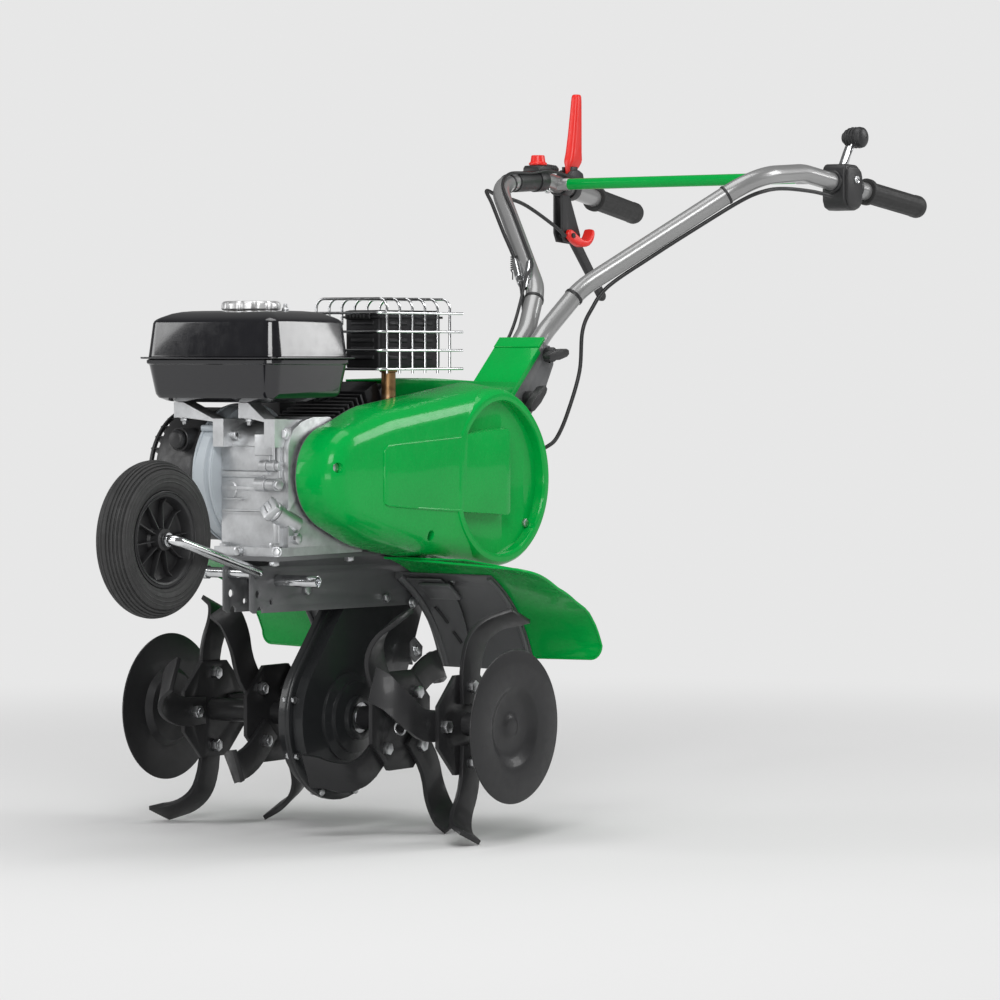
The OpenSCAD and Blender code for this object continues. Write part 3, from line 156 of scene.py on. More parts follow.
def subdivided(piece, levels):
    """Piece with its skin drawn smooth over its rings."""
    pick(piece)
    surface = piece.modifiers.new("surface", "SUBSURF")
    surface.levels = levels
    surface.render_levels = levels
    bpy.ops.object.modifier_apply(modifier=surface.name)
    smooth(piece, 40)
    return piece


def joined(name, pieces):
    """One piece from several."""
    object_mode()
    bpy.ops.object.select_all(action="DESELECT")
    for p in pieces:
        p.select_set(True)
    bpy.context.view_layer.objects.active = pieces[0]
    if len(pieces) > 1:
        bpy.ops.object.join()
    pieces[0].name = name
    return pieces[0]


def copied(piece, name, matrix):
    """Own copy of a piece, moved by a matrix that goes into its mesh."""
    twin = piece.copy()
    twin.data = piece.data.copy()
    twin.name = name
    bpy.context.scene.collection.objects.link(twin)
    twin.data.transform(matrix)
    if matrix.to_3x3().determinant() < 0:
        edit(twin)
        bpy.ops.mesh.flip_normals()
        object_mode()
    return twin


def axes(direction, middle=(0, 0, 0), across=(0.31, 0.17, 0.93)):
    """Matrix that stands +Z along a direction at a point; across only settles how it is turned."""
    w = Vector(direction).normalized()
    u = Vector(across).cross(w).normalized()
    v = w.cross(u)
    return Matrix.Translation(Vector(middle)) @ Matrix((u, v, w)).transposed().to_4x4()


def lathe(name, outline, middle, direction=(1, 0, 0), steps=64):
    """Turned shape: outline of (radius, distance along the direction)."""
    piece = new_mesh(name, [(r, 0, h) for r, h in outline], [(i, i + 1) for i in range(len(outline) - 1)])
    edit(piece)
    bpy.ops.mesh.spin(steps=steps, angle=2 * math.pi, center=(0, 0, 0), axis=(0, 0, 1))
    object_mode()
    tidy(piece)
    piece.data.transform(axes(direction, middle))
    return piece


def turned(name, outline, middle, direction=(1, 0, 0), steps=48):
    """Turned shape with smooth shading."""
    return smooth(lathe(name, outline, middle, direction, steps))


def slab(name, outline, near, far):
    """Flat outline extruded along X, from near to far. The outline lies in Y and Z."""
    piece = new_mesh(name, [(near, y, z) for y, z in outline], (), [list(range(len(outline)))])
    edit(piece)
    bpy.ops.mesh.extrude_region_move(TRANSFORM_OT_translate={"value": (far - near, 0, 0)})
    object_mode()
    return tidy(piece)


def block(name, low, high):
    """Box between two corners."""
    object_mode()
    bpy.ops.object.select_all(action="DESELECT")
    middle = (Vector(low) + Vector(high)) / 2
    bpy.ops.mesh.primitive_cube_add(size=1, location=(0, 0, 0))
    piece = bpy.context.object
    piece.name = name
    size = Vector(high) - Vector(low)
    piece.data.transform(Matrix.Translation(middle) @ Matrix.Diagonal((*size, 1)))
    return piece


def pad(name, low, high, width, segments=2):
    """Box between two corners with rounded edges."""
    return soften(block(name, low, high), width, segments)


def loft(name, rings):
    """Skin over a stack of rings with the same number of points, with both ends filled."""
    n = len(rings[0])
    faces = [
        (k * n + i, k * n + (i + 1) % n, (k + 1) * n + (i + 1) % n, (k + 1) * n + i)
        for k in range(len(rings) - 1)
        for i in range(n)
    ]
    faces += [tuple(range(n)), tuple(range((len(rings) - 1) * n, len(rings) * n))]
    piece = new_mesh(name, [p for ring in rings for p in ring], (), faces)
    return tidy(piece)


def round_box(half_x, half_y, radius, steps=8):
    """Points of a rectangle with round corners."""
    points = []
    for turn, (x, y) in enumerate(((1, 1), (-1, 1), (-1, -1), (1, -1))):
        for k in range(steps + 1):
            a = math.pi / 2 * (turn + k / steps)
            across = x * (half_x - radius) + radius * math.cos(a)
            points.append((across, y * (half_y - radius) + radius * math.sin(a)))
    return points


def mirrored(piece, name):
    """Twin of a piece on the machine's other side."""
    return copied(piece, name, Matrix.Diagonal((-1, 1, 1, 1)))


def pair(name, left):
    """A left piece and its twin in one."""
    return joined(name, [left, mirrored(left, name + "_right")])


def rod(name, points, radius, sides=16):
    """Round bar or wire along a line of points."""
    curve = bpy.data.curves.new(name, "CURVE")
    curve.dimensions = "3D"
    curve.bevel_depth = radius
    curve.bevel_resolution = max(1, sides // 4)
    curve.use_fill_caps = True
    spline = curve.splines.new("POLY")
    spline.points.add(len(points) - 1)
    for point, place in zip(spline.points, points):
        point.co = (*place, 1)
    piece = bpy.data.objects.new(name, curve)
    bpy.context.scene.collection.objects.link(piece)
    pick(piece)
    bpy.ops.object.convert(target="MESH")
    piece = bpy.context.object
    piece.name = name
    tidy(piece)
    return smooth(piece, 50)


def arc_line(corners, bend, steps=8):
    """Line through corners, each rounded to a radius."""
    p = [Vector(c) for c in corners]
    line = [p[0]]
    for before, corner, after in zip(p, p[1:], p[2:]):
        d, e = (corner - before).normalized(), (after - corner).normalized()
        turn = d.angle(e)
        if turn < 0.001:
            continue
        middle = corner + (e - d).normalized() * bend / math.cos(turn / 2)
        start = (corner - d * bend * math.tan(turn / 2) - middle) / bend
        for k in range(steps + 1):
            a = turn * k / steps
            line.append(middle + bend * (math.cos(a) * start + math.sin(a) * d))
    line.append(p[-1])
    return line


def spline_line(points, steps=8):
    """Smooth line through points."""
    p = [Vector(q) for q in points]
    line = []
    for i in range(len(p) - 1):
        a, b, c, d = p[max(i - 1, 0)], p[i], p[i + 1], p[min(i + 2, len(p) - 1)]
        for k in range(steps):
            t = k / steps
            bow, twist = 2 * a - 5 * b + 4 * c - d, 3 * b - a - 3 * c + d
            line.append(0.5 * (2 * b + (c - a) * t + bow * t * t + twist * t**3))
    line.append(p[-1])
    return line


def dense(line, gap=18):
    """The same line with more points on its long straights."""
    points = [line[0]]
    for a, b in zip(line, line[1:]):
        steps = math.ceil((b - a).length / gap)
        points += [a.lerp(b, (k + 1) / steps) for k in range(steps)]
    return points


def ease(t):
    """Smooth step from nothing at 0 to one at 1."""
    t = min(1, max(0, t))
    return t * t * (3 - 2 * t)


def mm(length):
    """A length of the settings, in the millimetres of the pieces."""
    return round(length / MILLIMETRE, 4)


def hex_head(name, place, direction, radius, height, stud=0.0):
    """Bolt head or nut with a chamfered top, a flange under it and the end of its thread."""
    object_mode()
    bpy.ops.object.select_all(action="DESELECT")
    bpy.ops.mesh.primitive_cylinder_add(vertices=6, radius=radius, depth=height, location=(0, 0, 0))
    head = bpy.context.object
    head.data.transform(Matrix.Translation((0, 0, height / 2)))
    edit(head)
    bpy.ops.mesh.select_all(action="DESELECT")
    object_mode()
    for face in head.data.polygons:
        face.select = face.normal.z > 0.9
    bpy.ops.object.mode_set(mode="EDIT")
    bpy.ops.mesh.inset(thickness=radius * 0.16, depth=0)
    bpy.ops.transform.translate(value=(0, 0, height * 0.12))
    object_mode()
    rim, top = radius * 1.25, height * 0.22
    flange = [(0, 0), (radius * 1.22, 0), (rim, height * 0.1), (radius * 1.2, top), (0, top)]
    pieces = [soften(head, radius * 0.06, 1), turned("washer", flange, (0, 0, 0), (0, 0, 1), 24)]
    if stud:
        thread, end, start = radius * 0.55, height + stud, height * 0.5
        outline = [(0, end), (radius * 0.45, end), (thread, height + stud * 0.7), (thread, start), (0, start)]
        pieces.append(turned("thread", outline, (0, 0, 0), (0, 0, 1), 16))
    bolt = joined(name, pieces)
    bolt.data.transform(axes(direction, place))
    return bolt


def dressed(node, width, segments=2, angle=30, flat=0.6):
    """Copy of a solid with merged faces, rounded edges and flats joined up to an angle."""
    source = NODES[node]
    piece = source.copy()
    piece.data = source.data.copy()
    piece.name = node + "_dressed"
    piece.parent = None
    for key in list(piece.keys()):
        del piece[key]
    bpy.context.scene.collection.objects.link(piece)
    piece.data.transform(MILLIMETRES.inverted())
    edit(piece)
    bpy.ops.mesh.customdata_custom_splitnormals_clear()
    bpy.ops.mesh.remove_doubles(threshold=0.004)
    if flat:
        bpy.ops.mesh.dissolve_limited(angle_limit=math.radians(flat))
    object_mode()
    soften(piece, width, segments, angle)
    return piece


def placed(piece, finish, *nodes, body=None, slot=None):
    """Gives a piece its finish, the body it rides on and the solids it stands for."""
    piece.data.transform(MILLIMETRES)
    piece.data.materials.clear()
    piece.data.materials.append(finish)
    if nodes:
        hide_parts(*nodes)
    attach(piece, body or BODY_OF[nodes[0]])
    return piece


# Finishes


class Nodes:
    """Short hand for one material's node tree."""

    def __init__(self, name):
        self.material = bpy.data.materials.new(name)
        self.material.use_nodes = True
        self.tree = self.material.node_tree
        self.shader = self.tree.nodes["Principled BSDF"]
        self.place = self.add("ShaderNodeTexCoord").outputs["Object"]

    def add(self, kind, **values):
        """New node with some of its values set."""
        node = self.tree.nodes.new(kind)
        for key, value in values.items():
            setattr(node, key, value)
        return node

    def link(self, out, into):
        """Joins two sockets."""
        self.tree.links.new(out, into)

    def noise(self, scale, detail=3.0, rough=0.55, stretch=None):
        """Noise on the piece's own place."""
        node = self.add("ShaderNodeTexNoise")
        node.inputs["Scale"].default_value = scale
        node.inputs["Detail"].default_value = detail
        node.inputs["Roughness"].default_value = rough
        if stretch:
            mapping = self.add("ShaderNodeMapping")
            mapping.inputs["Scale"].default_value = stretch
            self.link(self.place, mapping.inputs["Vector"])
            self.link(mapping.outputs["Vector"], node.inputs["Vector"])
        else:
            self.link(self.place, node.inputs["Vector"])
        return node.outputs["Fac"]

    def tone(self, pattern, stops):
        """Base colour from a pattern and its stops of (place, colour)."""
        node = self.add("ShaderNodeValToRGB")
        elements = node.color_ramp.elements
        while len(elements) < len(stops):
            elements.new(0.5)
        for element, (at, colour) in zip(elements, stops):
            element.position = at
            element.color = (*colour, 1)
        self.link(pattern, node.inputs["Fac"])
        self.link(node.outputs["Color"], self.shader.inputs["Base Color"])

    def gloss(self, pattern, low, high):
        """Roughness that a pattern takes from low to high."""
        node = self.add("ShaderNodeMapRange")
        for key, number in (("From Min", 0.3), ("From Max", 0.7), ("To Min", low), ("To Max", high)):
            node.inputs[key].default_value = number
        self.link(pattern, node.inputs["Value"])
        self.link(node.outputs["Result"], self.shader.inputs["Roughness"])

    def bump(self, height, strength, distance):
        """Fine surface from a pattern of heights."""
        node = self.add("ShaderNodeBump")
        node.inputs["Strength"].default_value = strength
        node.inputs["Distance"].default_value = distance
        self.link(height, node.inputs["Height"])
        self.link(node.outputs["Normal"], self.shader.inputs["Normal"])

    def set(self, **values):
        """Plain values of the shader."""
        for key, value in values.items():
            self.shader.inputs[key.replace("_", " ")].default_value = value


def shade(colour, amount):
    """A colour made lighter or darker."""
    return tuple(min(1.0, c * amount) for c in colour)


def drift(colour, vary):
    """Two stops a little darker and lighter than a colour."""
    return [(0.25, shade(colour, 1 - vary)), (0.75, shade(colour, 1 + vary))]


def painted(name, colour, roughness, coat, peel=0.00012, vary=0.10, metallic=0.0, specular=0.3, patchy=0.065):
    """Sprayed paint: slight tone drift, orange peel, and a coat where it is glossy."""
    n = Nodes(name)
    n.tone(n.noise(9.0, 4.0), drift(colour, vary))
    n.gloss(n.noise(70.0, 4.0), roughness - patchy, roughness + patchy)
    n.set(Coat_Weight=coat, Coat_Roughness=0.06, Specular_IOR_Level=specular, Metallic=metallic)
    if peel:
        n.bump(n.noise(420.0, 2.0), 0.35, peel)
    return n.material


def bare_metal(name, colour, roughness, grain=900.0, depth=0.00008, metallic=1.0):
    """Plated or cast metal: cloudy tone and a fine surface."""
    n = Nodes(name)
    n.tone(n.noise(38.0, 5.0, 0.6), [(0.3, shade(colour, 0.8)), (0.7, shade(colour, 1.1))])
    n.gloss(n.noise(160.0, 4.0), max(0.04, roughness - 0.07), roughness + 0.09)
    n.set(Metallic=metallic)
    n.bump(n.noise(grain, 3.0), 0.4, depth)
    return n.material


def moulded(name, colour, roughness, depth=0.00010, scale=1500.0, vary=0.12):
    """Moulded plastic or rubber with a fine leather-like grain."""
    n = Nodes(name)
    n.tone(n.noise(16.0, 4.0), drift(colour, vary))
    n.gloss(n.noise(120.0, 4.0), roughness - 0.06, roughness + 0.08)
    cells = n.add("ShaderNodeTexVoronoi", feature="SMOOTH_F1")
    cells.inputs["Scale"].default_value = scale
    n.link(n.place, cells.inputs["Vector"])
    n.bump(cells.outputs["Distance"], 0.45, depth)
    return n.material


def heat_stained(name, colour):
    """Exhaust pipe: browned plating with straw and violet bands."""
    straw, violet = (0.42, 0.30, 0.20), (0.30, 0.22, 0.26)
    n = Nodes(name)
    band = n.noise(26.0, 4.0, 0.6, (1, 1, 2.2))
    n.tone(band, [(0.3, shade(colour, 0.55)), (0.5, colour), (0.68, straw), (0.8, violet)])
    n.gloss(n.noise(140.0, 3.0), 0.28, 0.48)
    n.set(Metallic=1.0)
    n.bump(n.noise(700.0, 3.0), 0.35, 0.0001)
    return n.material


def rubber_tyre(name, colour):
    """Tyre rubber: matt, with a dusty bloom in random patches."""
    n = Nodes(name)
    n.tone(n.noise(30.0, 5.0, 0.65), [(0.35, colour), (0.7, shade(colour, 1.7))])
    n.gloss(n.noise(90.0, 4.0), 0.52, 0.72)
    n.bump(n.noise(1100.0, 3.0), 0.5, 0.00012)
    return n.material


FINISH = {}


def make_finishes(colours):
    """Every finish, by the name of its slot, and the fuel cap's own."""
    FINISH.update(
        green_paint=painted("gloss_green_paint", colours.green, 0.26, 0.28, 0.00008, 0.07, specular=0.1),
        charcoal_paint=painted("satin_charcoal_paint", colours.charcoal, 0.40, 0.15, 0.00018),
        tine_paint=painted("black_tine_paint", colours.tines, 0.42, 0.1, 0.00020),
        case_paint=painted("black_case_paint", colours.case, 0.36, 0.2, 0.00018),
        tank_paint=painted("gloss_black_tank_paint", colours.tank, 0.16, 0.8, 0.00008),
        cast_alloy=bare_metal("cast_alloy", colours.alloy, 0.48, 520.0, 0.00022),
        steel=bare_metal("zinc_plated_steel", colours.zinc, 0.34),
        chrome=bare_metal("bright_plated_rod", colours.chrome, 0.13, 1400.0, 0.00003),
        tube_paint=painted("metallic_grey_tube_paint", colours.tube, 0.32, 0.6, 0, 0.03, 0.45, patchy=0.005),
        shroud=painted("blue_grey_shroud_paint", colours.shroud, 0.42, 0.15),
        black_plastic=moulded("black_moulded_plastic", colours.plastic, 0.44),
        red_plastic=moulded("red_moulded_plastic", colours.red, 0.34, 0.00003, vary=0.04),
        rubber=moulded("black_grip_rubber", colours.rubber, 0.58, 0.00014, 1100.0),
        tyre=rubber_tyre("tyre_rubber", colours.tyre),
        bronze=heat_stained("heat_stained_pipe", colours.bronze),
        iron=bare_metal("blackened_iron", colours.iron, 0.46, 600.0, 0.00016, 0.85),
        cap_metal=bare_metal("satin_cap_plating", colours.cap, 0.42, 1300.0, 0.00004, 0.9),
    )


# Pieces that keep the solid's shape, with the width of their rounded edges

ROUNDED = {
    "chassis_frame": 0.6,
    "case_left": 1.8,
    "case_right": 1.8,
    "tine_shaft": 0.6,
    "tine_hubs": 0.8,
    "rotor_fasteners": 0.3,
    "crankcase_cover": 1.2,
    "engine_block": 0.8,
    "rocker_cover": 1.4,
    "frame_fasteners": 0.3,
    "rear_guards": 0.5,
    "column_bracket": 0.5,
    "column_cover": 0.5,
    "handle_clamp": 0.6,
    "lower_wing_knob": 1.0,
    "upper_wing_knob": 1.0,
    "carburettor": 0.8,
    "air_cleaner": 1.6,
    "idler_arm": 0.6,
    "stop_tube": 0.5,
    "starter_grip": 1.2,
    "spark_plug": 0.6,
}


class TILLER_OT_rounded(bpy.types.Operator):
    """Shows the solids with merged faces and rounded edges"""

    bl_idname = "tiller.rounded"
    bl_label = "Rounded solids"

    def execute(self, context):
        for node, width in ROUNDED.items():
            placed(dressed(node, width), FINISH[SLOT_OF[node]], node)
        return {"FINISHED"}


# Front wheel

# Degrees round the tyre's section, either way from the middle of the tread
TREAD_GROOVES = (9, 21, 33, 45, 57)
TREAD_EDGE = 66
WALL_RIDGES = (74, 86, 98)
TYRE_BEAD = 112
TYRE_END = 128
RIDGE = 0.8
RIM_FINS = 10
ARM_R = 7.2
HUB_HALF = 20


def pulse(value, places, half):
    """One at any of the places, falling to nothing at a distance of half."""
    return max(max(0.0, 1 - abs(value - place) / half) for place in places)


def tyre_shape(hub, tread):
    """Tyre with grooves round its tread and fine ridges on its walls."""
    low, high = box_of("tyre")
    section = (high.x - low.x) / 2
    middle = (high.z - low.z) / 2 - section
    outline = []
    for deg in range(-TYRE_END, TYRE_END + 1):
        off = abs(deg)
        r = section - RIDGE - tread * min(1, 1.6 * pulse(off, TREAD_GROOVES, 3.2))
        r += RIDGE * (pulse(off, WALL_RIDGES, 2.4) + pulse(off, (TREAD_EDGE,), 6))
        r -= RIDGE * min(1, max(0, off - TYRE_BEAD) / 6)
        a = math.radians(deg)
        outline.append((middle + r * math.cos(a), r * math.sin(a)))
    return smooth(lathe("tyre_tread", outline, hub, (1, 0, 0), 112), 30)


def rim_shape(hub):
    """Rim with a stepped lip, a deep dish with thin fins on both sides and a short boss."""
    boss = [(7.4, HUB_HALF), (13, HUB_HALF), (14.6, 18.5), (15.2, 6), (18, 2.5)]
    dish = [(50, 1), (54, 3), (55.5, 17), (57, 19.2)]
    lip = [(59.5, 20.2), (60.2, 18.8), (62.6, 18.9), (63.6, 20.6), (64.4, 20.3), (64.4, 17), (62, 15.5)]
    side = boss + dish + lip
    outline = side + [(r, -h) for r, h in reversed(side)]
    disc = smooth(lathe("rim", outline + outline[:1], hub, (1, 0, 0), 96), 32)
    fin = slab("fin", [(13, 0.5), (13, 15), (20, 13), (48, 8), (55, 13), (55, 0.5)], -0.9, 0.9)
    fin.data.transform(Matrix.Rotation(math.pi / 2, 4, "Y"))
    soften(fin, 0.35, 2)
    fins = []
    for k in range(RIM_FINS):
        for flip_over in (0, math.pi):
            turn = Matrix.Rotation(math.radians(360 / RIM_FINS * k + 7), 4, "X")
            over = Matrix.Rotation(flip_over, 4, "Y")
            fins.append(copied(fin, "fin", Matrix.Translation(hub) @ turn @ over))
    bpy.data.objects.remove(fin)
    return joined("rim_with_fins", [disc] + fins)


def arm_shape(hub, pivot):
    """One bright rod bent twice: across the chassis, forward along the wheel, and through its hub."""
    across, through, bend = -60, -34, 13
    side = box_of("wheel_arm")[1].x - ARM_R - 1.5
    corners = [(across, *pivot.yz), (side, *pivot.yz), (side, *hub.yz), (through, *hub.yz)]
    stop_ring = [(ARM_R, -58), (9.2, -58), (9.2, -65), (8, -66), (0, -66)]
    spacer = [(ARM_R, HUB_HALF + 1), (9.4, HUB_HALF + 1), (9.4, 25.5), (ARM_R, 25.5)]
    pieces = [
        rod("arm", arc_line(corners, bend), ARM_R, 24),
        hex_head("nut", (-25, *hub.yz), (-1, 0, 0), 10, 7, 4),
        turned("stop_ring", stop_ring, (0, *pivot.yz), (1, 0, 0), 32),
        turned("spacer", spacer, hub, (1, 0, 0), 32),
    ]
    return joined("bent_arm", pieces)


class TILLER_OT_wheel(bpy.types.Operator):
    """Turns the grooved tyre and the rim with its thin fins, and bends the arm"""

    bl_idname = "tiller.wheel"
    bl_label = "Front wheel"

    def execute(self, context):
        low, high = box_of("tyre")
        hub = spot(WHEEL)
        hub.x = (low.x + high.x) / 2
        placed(tyre_shape(hub, mm(context.scene.tiller_sizes.tread)), FINISH["tyre"], "tyre")
        placed(rim_shape(hub), FINISH["black_plastic"], "wheel_rim")
        placed(arm_shape(hub, spot(joint_at("wheel_swing"))), FINISH["chrome"], "wheel_arm")
        return {"FINISHED"}


# Engine

# Rings of the tank: height, how far its sides lie inside the widest ring, radius of its corners
TANK_TUB = [(0, 34, 8), (1.5, 22, 11), (6, 12.5, 14), (11, 9, 16), (15, 8, 17), (50, 2.0, 19),
            (51.4, 1.2, 19.5), (52.4, -0.4, 20), (53.6, -1, 20), (57.4, -1, 20), (58.6, 0.2, 20),
            (59.4, 2, 19)]
TANK_LID = [(61, 2.2, 19), (62.6, 0.8, 20), (64.4, 1.2, 20), (108, 6.6, 16), (111, 8, 15.5),
            (113.4, 10.6, 15), (116, 15, 14), (121, 26, 12), (123.4, 36, 10), (124.6, 47, 8), (125, 58, 6)]
FLANGE_LOW, FLANGE_HIGH, FLANGE_CORNER = 59.2, 61.8, 11
# How far the tank's sides stand outside its solid, and its solid's neck above the lid
TANK_WIDER = 3
NECK_RISE = 8
# Fuel neck and oil filler, from the crankshaft, and the way the filler leans
FUEL_NECK = (-33, -23)
OIL_FILLER = (62, -64, -60)
OIL_LEAN = Vector((-0.2, -0.85, 0.46)).normalized()
OIL_NECK = 26
# The casting's front, from the crankshaft
CASE_FRONT = -74
# Stepped tubes on the front: height, then start, end and radius of each step along X
CASE_TUBES = [
    (516.5, [(26, 38, 8.4), (38, 41, 7), (41, 52, 7.8), (52, 59, 6.4)]),
    (491, [(18, 36, 9.4), (36, 40, 8), (40, 54, 8.8), (54, 58, 7.4)]),
]
# Ribs on the front: X from and to, distance they stand out, Z from and to
CASE_RIBS = [(-18, 20, 4, 485.4, 488.4), (-39, -6, 5, 469.4, 472.6), (-39, 28, 5, 452.4, 455.6),
             (47, 51, 6, 524, 566), (54, 58, 4, 500, 556), (50, 60, 8, 407, 444)]
# Bolts on the front: X, distance before the crankshaft, Z, direction and radius of the head
CASE_BOLTS = [(56, 80, 491, (1, -0.5, 0), 7), (61, 71, 560, (0.3, -1, 0), 6.5),
              (-1, 92, 400.5, (0, -1, 0), 6.5), (64, 92, 401, (0.4, -1, 0), 6)]
# Other forms on the front: a boss, a round pad and a lug as X, distance before the front and Z, a ridge's Z
UPPER_BOSS = (0, -2, 557.5)
ROUND_PAD = (-31, 0, 483)
CASE_LUG = (59, -6, 560)
RIDGE_Z = 504
# Bolts in the tank's feet: X, distance before the crankshaft and below the tank
TANK_FEET = (-104, 8)
FOOT_BEFORE, FOOT_BELOW = 80, 21
STARTER_RIBS = 30
LOUVRE_ROWS = 5


def tank_shape(low, high, flange):
    """Tub and lid of pressed sheet with a folded flange between them."""
    half_x, half_y = ((b - a) / 2 + TANK_WIDER - flange for a, b in zip(low.xy, high.xy))
    middle = (low + high) / 2

    def ring(z, inside, radius):
        line = round_box(half_x - inside, half_y - inside, radius)
        return [(middle.x + x, middle.y + y, low.z + z) for x, y in line]

    pieces = [smooth(loft("tank", [ring(*r) for r in stack]), 28) for stack in (TANK_TUB, TANK_LID)]
    fold = loft("flange", [ring(z, -flange, FLANGE_CORNER) for z in (FLANGE_LOW, FLANGE_HIGH)])
    pieces.append(soften(fold, 1.1, 3))
    return pieces


def cap_shape(place):
    """Round cap with scalloped edge and a shallow step on its top."""
    scallops, inner, deep, half = 12, 33, 0.075, 4.2
    outline = [(0, 12.6), (24, 12.8), (26, 13), (34, 13), (37.4, 12.2), (39.6, 10.4), (40.6, 8), (40.8, 2.4),
               (39.8, 0.8), (37, 0.2), (30, 0.2), (30, 5), (0, 5)]
    cap = lathe("cap", outline, (0, 0, 0), (0, 0, 1), 168)
    for v in cap.data.vertices:
        r = math.hypot(v.co.x, v.co.y)
        if r > inner:
            turn = 360 / scallops
            a = math.degrees(math.atan2(v.co.y, v.co.x)) % turn - turn / 2
            k = 1 - deep * math.exp(-((a / half) ** 2)) * min(1, (r - inner) / 5)
            v.co.x, v.co.y = v.co.x * k, v.co.y * k
    cap.data.transform(Matrix.Translation(place))
    return smooth(cap, 32)


def oil_cap_shape(place):
    """Screw cap with a square head and a slot across it."""
    outline = [(0, 0.6), (13.4, 0.6), (14.2, 1.6), (14.2, 4.6), (13, 6), (0, 6)]
    base = turned("oil_cap", outline, (0, 0, 0), (0, 0, 1))
    head = pad("head", (-12.5, -12.5, 5.4), (12.5, 12.5, 15), 1.6, 3)
    slot = [pad("slot_wall", (-8.4, y - 1.3, 13), (8.4, y + 1.3, 16.6), 0.8) for y in (-4.2, 4.2)]
    piece = joined("oil_cap", [base, head] + slot)
    piece.data.transform(axes(OIL_LEAN, place, (1, 0, 0)) @ Matrix.Rotation(math.radians(45), 4, "Z"))
    return piece


def filler_neck(place):
    """Neck under the oil cap."""
    outline = [(9.5, -14), (13.4, -14), (13.4, 19), (14.2, 20), (14.2, OIL_NECK), (9.5, OIL_NECK), (9.5, -14)]
    return turned("filler_neck", outline, place, OIL_LEAN)


def guard_wires(low, high, wire):
    """Wire cage round the muffler: hoops over it and long wires round its front and side."""
    hoops, longs, step, fall = 6, 4, 26, 36
    top = high.z - wire
    near, far = low.x + wire, high.x - 3 * wire
    front, side = low.y + wire, high.x - wire
    wires = []
    for k in range(hoops):
        y = low.y + 18 + k * (high.y - low.y - 44) / (hoops - 1)
        corners = [(near, y, top - fall), (near, y, top), (far, y, top), (far, y, low.z)]
        wires.append(rod("hoop", arc_line(corners, 14), wire, 12))
    for k in range(longs):
        z = low.z + 6 + step * k
        corners = [(near, front, z), (side, front, z), (side, high.y, z)]
        wires.append(rod("long_wire", arc_line(corners, 12), wire, 12))
    return joined("guard_wires", wires)


def louvre(start, end, out, inset, rise):
    """Pressed scoop between two points of a wall, open at its lower edge."""
    along, out, up = (end - start).normalized(), Vector(out), Vector((0, 0, 1))
    base = [start - up, end - up, end + 7 * up, start + 7 * up]
    lower, upper = rise * out + up, 0.6 * out + 6 * up
    mouth = [start + inset * along + lower, end - inset * along + lower,
             end - (inset - 1) * along + upper, start + (inset - 1) * along + upper]
    return soften(loft("louvre", [[p - 2 * out for p in base], mouth]), 0.7, 2)


def muffler_shape(low, high):
    """Pressed box with folded edges, louvres on two sides and a lip at its top front edge."""
    rows = [low.z + 13 + 12 * row for row in range(LOUVRE_ROWS)]
    shell = pad("shell", low, high, 5, 4)
    louvres = []
    for y in (low.y + 16, low.y + 76):
        for z in rows:
            louvres.append(louvre(Vector((high.x, y, z)), Vector((high.x, y + 50, z)), (1, 0, 0), 4, 2.4))
    for z in rows:
        start, end = Vector((low.x + 9, low.y, z)), Vector((high.x - 9, low.y, z))
        louvres.append(louvre(start, end, (0, -1, 0), 3, 2.2))
    seam_low, seam_high = (low.z + share * (high.z - low.z) for share in (0.86, 0.9))
    seam = pad("seam", (low.x - 2, low.y - 2, seam_low), (high.x + 2, high.y + 2, seam_high), 0.8)
    hood = pad("hood", (low.x + 4, low.y - 6, high.z - 13), (high.x - 14, low.y + 2, high.z - 1), 1.6, 3)
    return joined("muffler_box", [shell, seam, hood] + louvres)


def hole_shade_discs(low, high):
    """Row of tall black discs on the muffler's lip: painted shade standing in for holes."""
    count, step, tall = 6, 6, 1.9
    level = high.z - 7
    outline = [(0, 0), (1.9, 0), (1.9, 1), (0, 1)]
    lift = Matrix.Translation((0, 0, level))
    stretch = lift @ Matrix.Diagonal((1, 1, tall, 1)) @ lift.inverted()
    shade_discs = []
    for k in range(count):
        # Each disc is a thin black solid on the lip's face, painted shade where a hole would be dark inside.
        shade_disc = turned("shade_disc", outline, (low.x + 8 + step * k, low.y - 6.4, level), (0, -1, 0), 16)
        shade_disc.data.transform(stretch)
        shade_discs.append(shade_disc)
    return joined("hole_shade_discs", shade_discs)


def pipe_shape(low, high):
    """Exhaust pipe: a riser with a collar at its top and a stub to the cylinder."""
    tall = high.z - low.z
    centre = Vector((high.x - 10, high.y - 10, low.z))
    reach = centre.x - low.x
    collar_z = tall - 4
    riser = [(0, 0), (7, 0.6), (10, 4), (10, collar_z - 1), (12.5, collar_z), (12.5, tall), (0, tall)]
    stub = [(0, 0), (9, 0), (9, reach), (0, reach)]
    pieces = [turned("riser", riser, centre, (0, 0, 1))]
    pieces.append(turned("stub", stub, centre + Vector((-reach, 0, 10))))
    return joined("pipe", pieces)


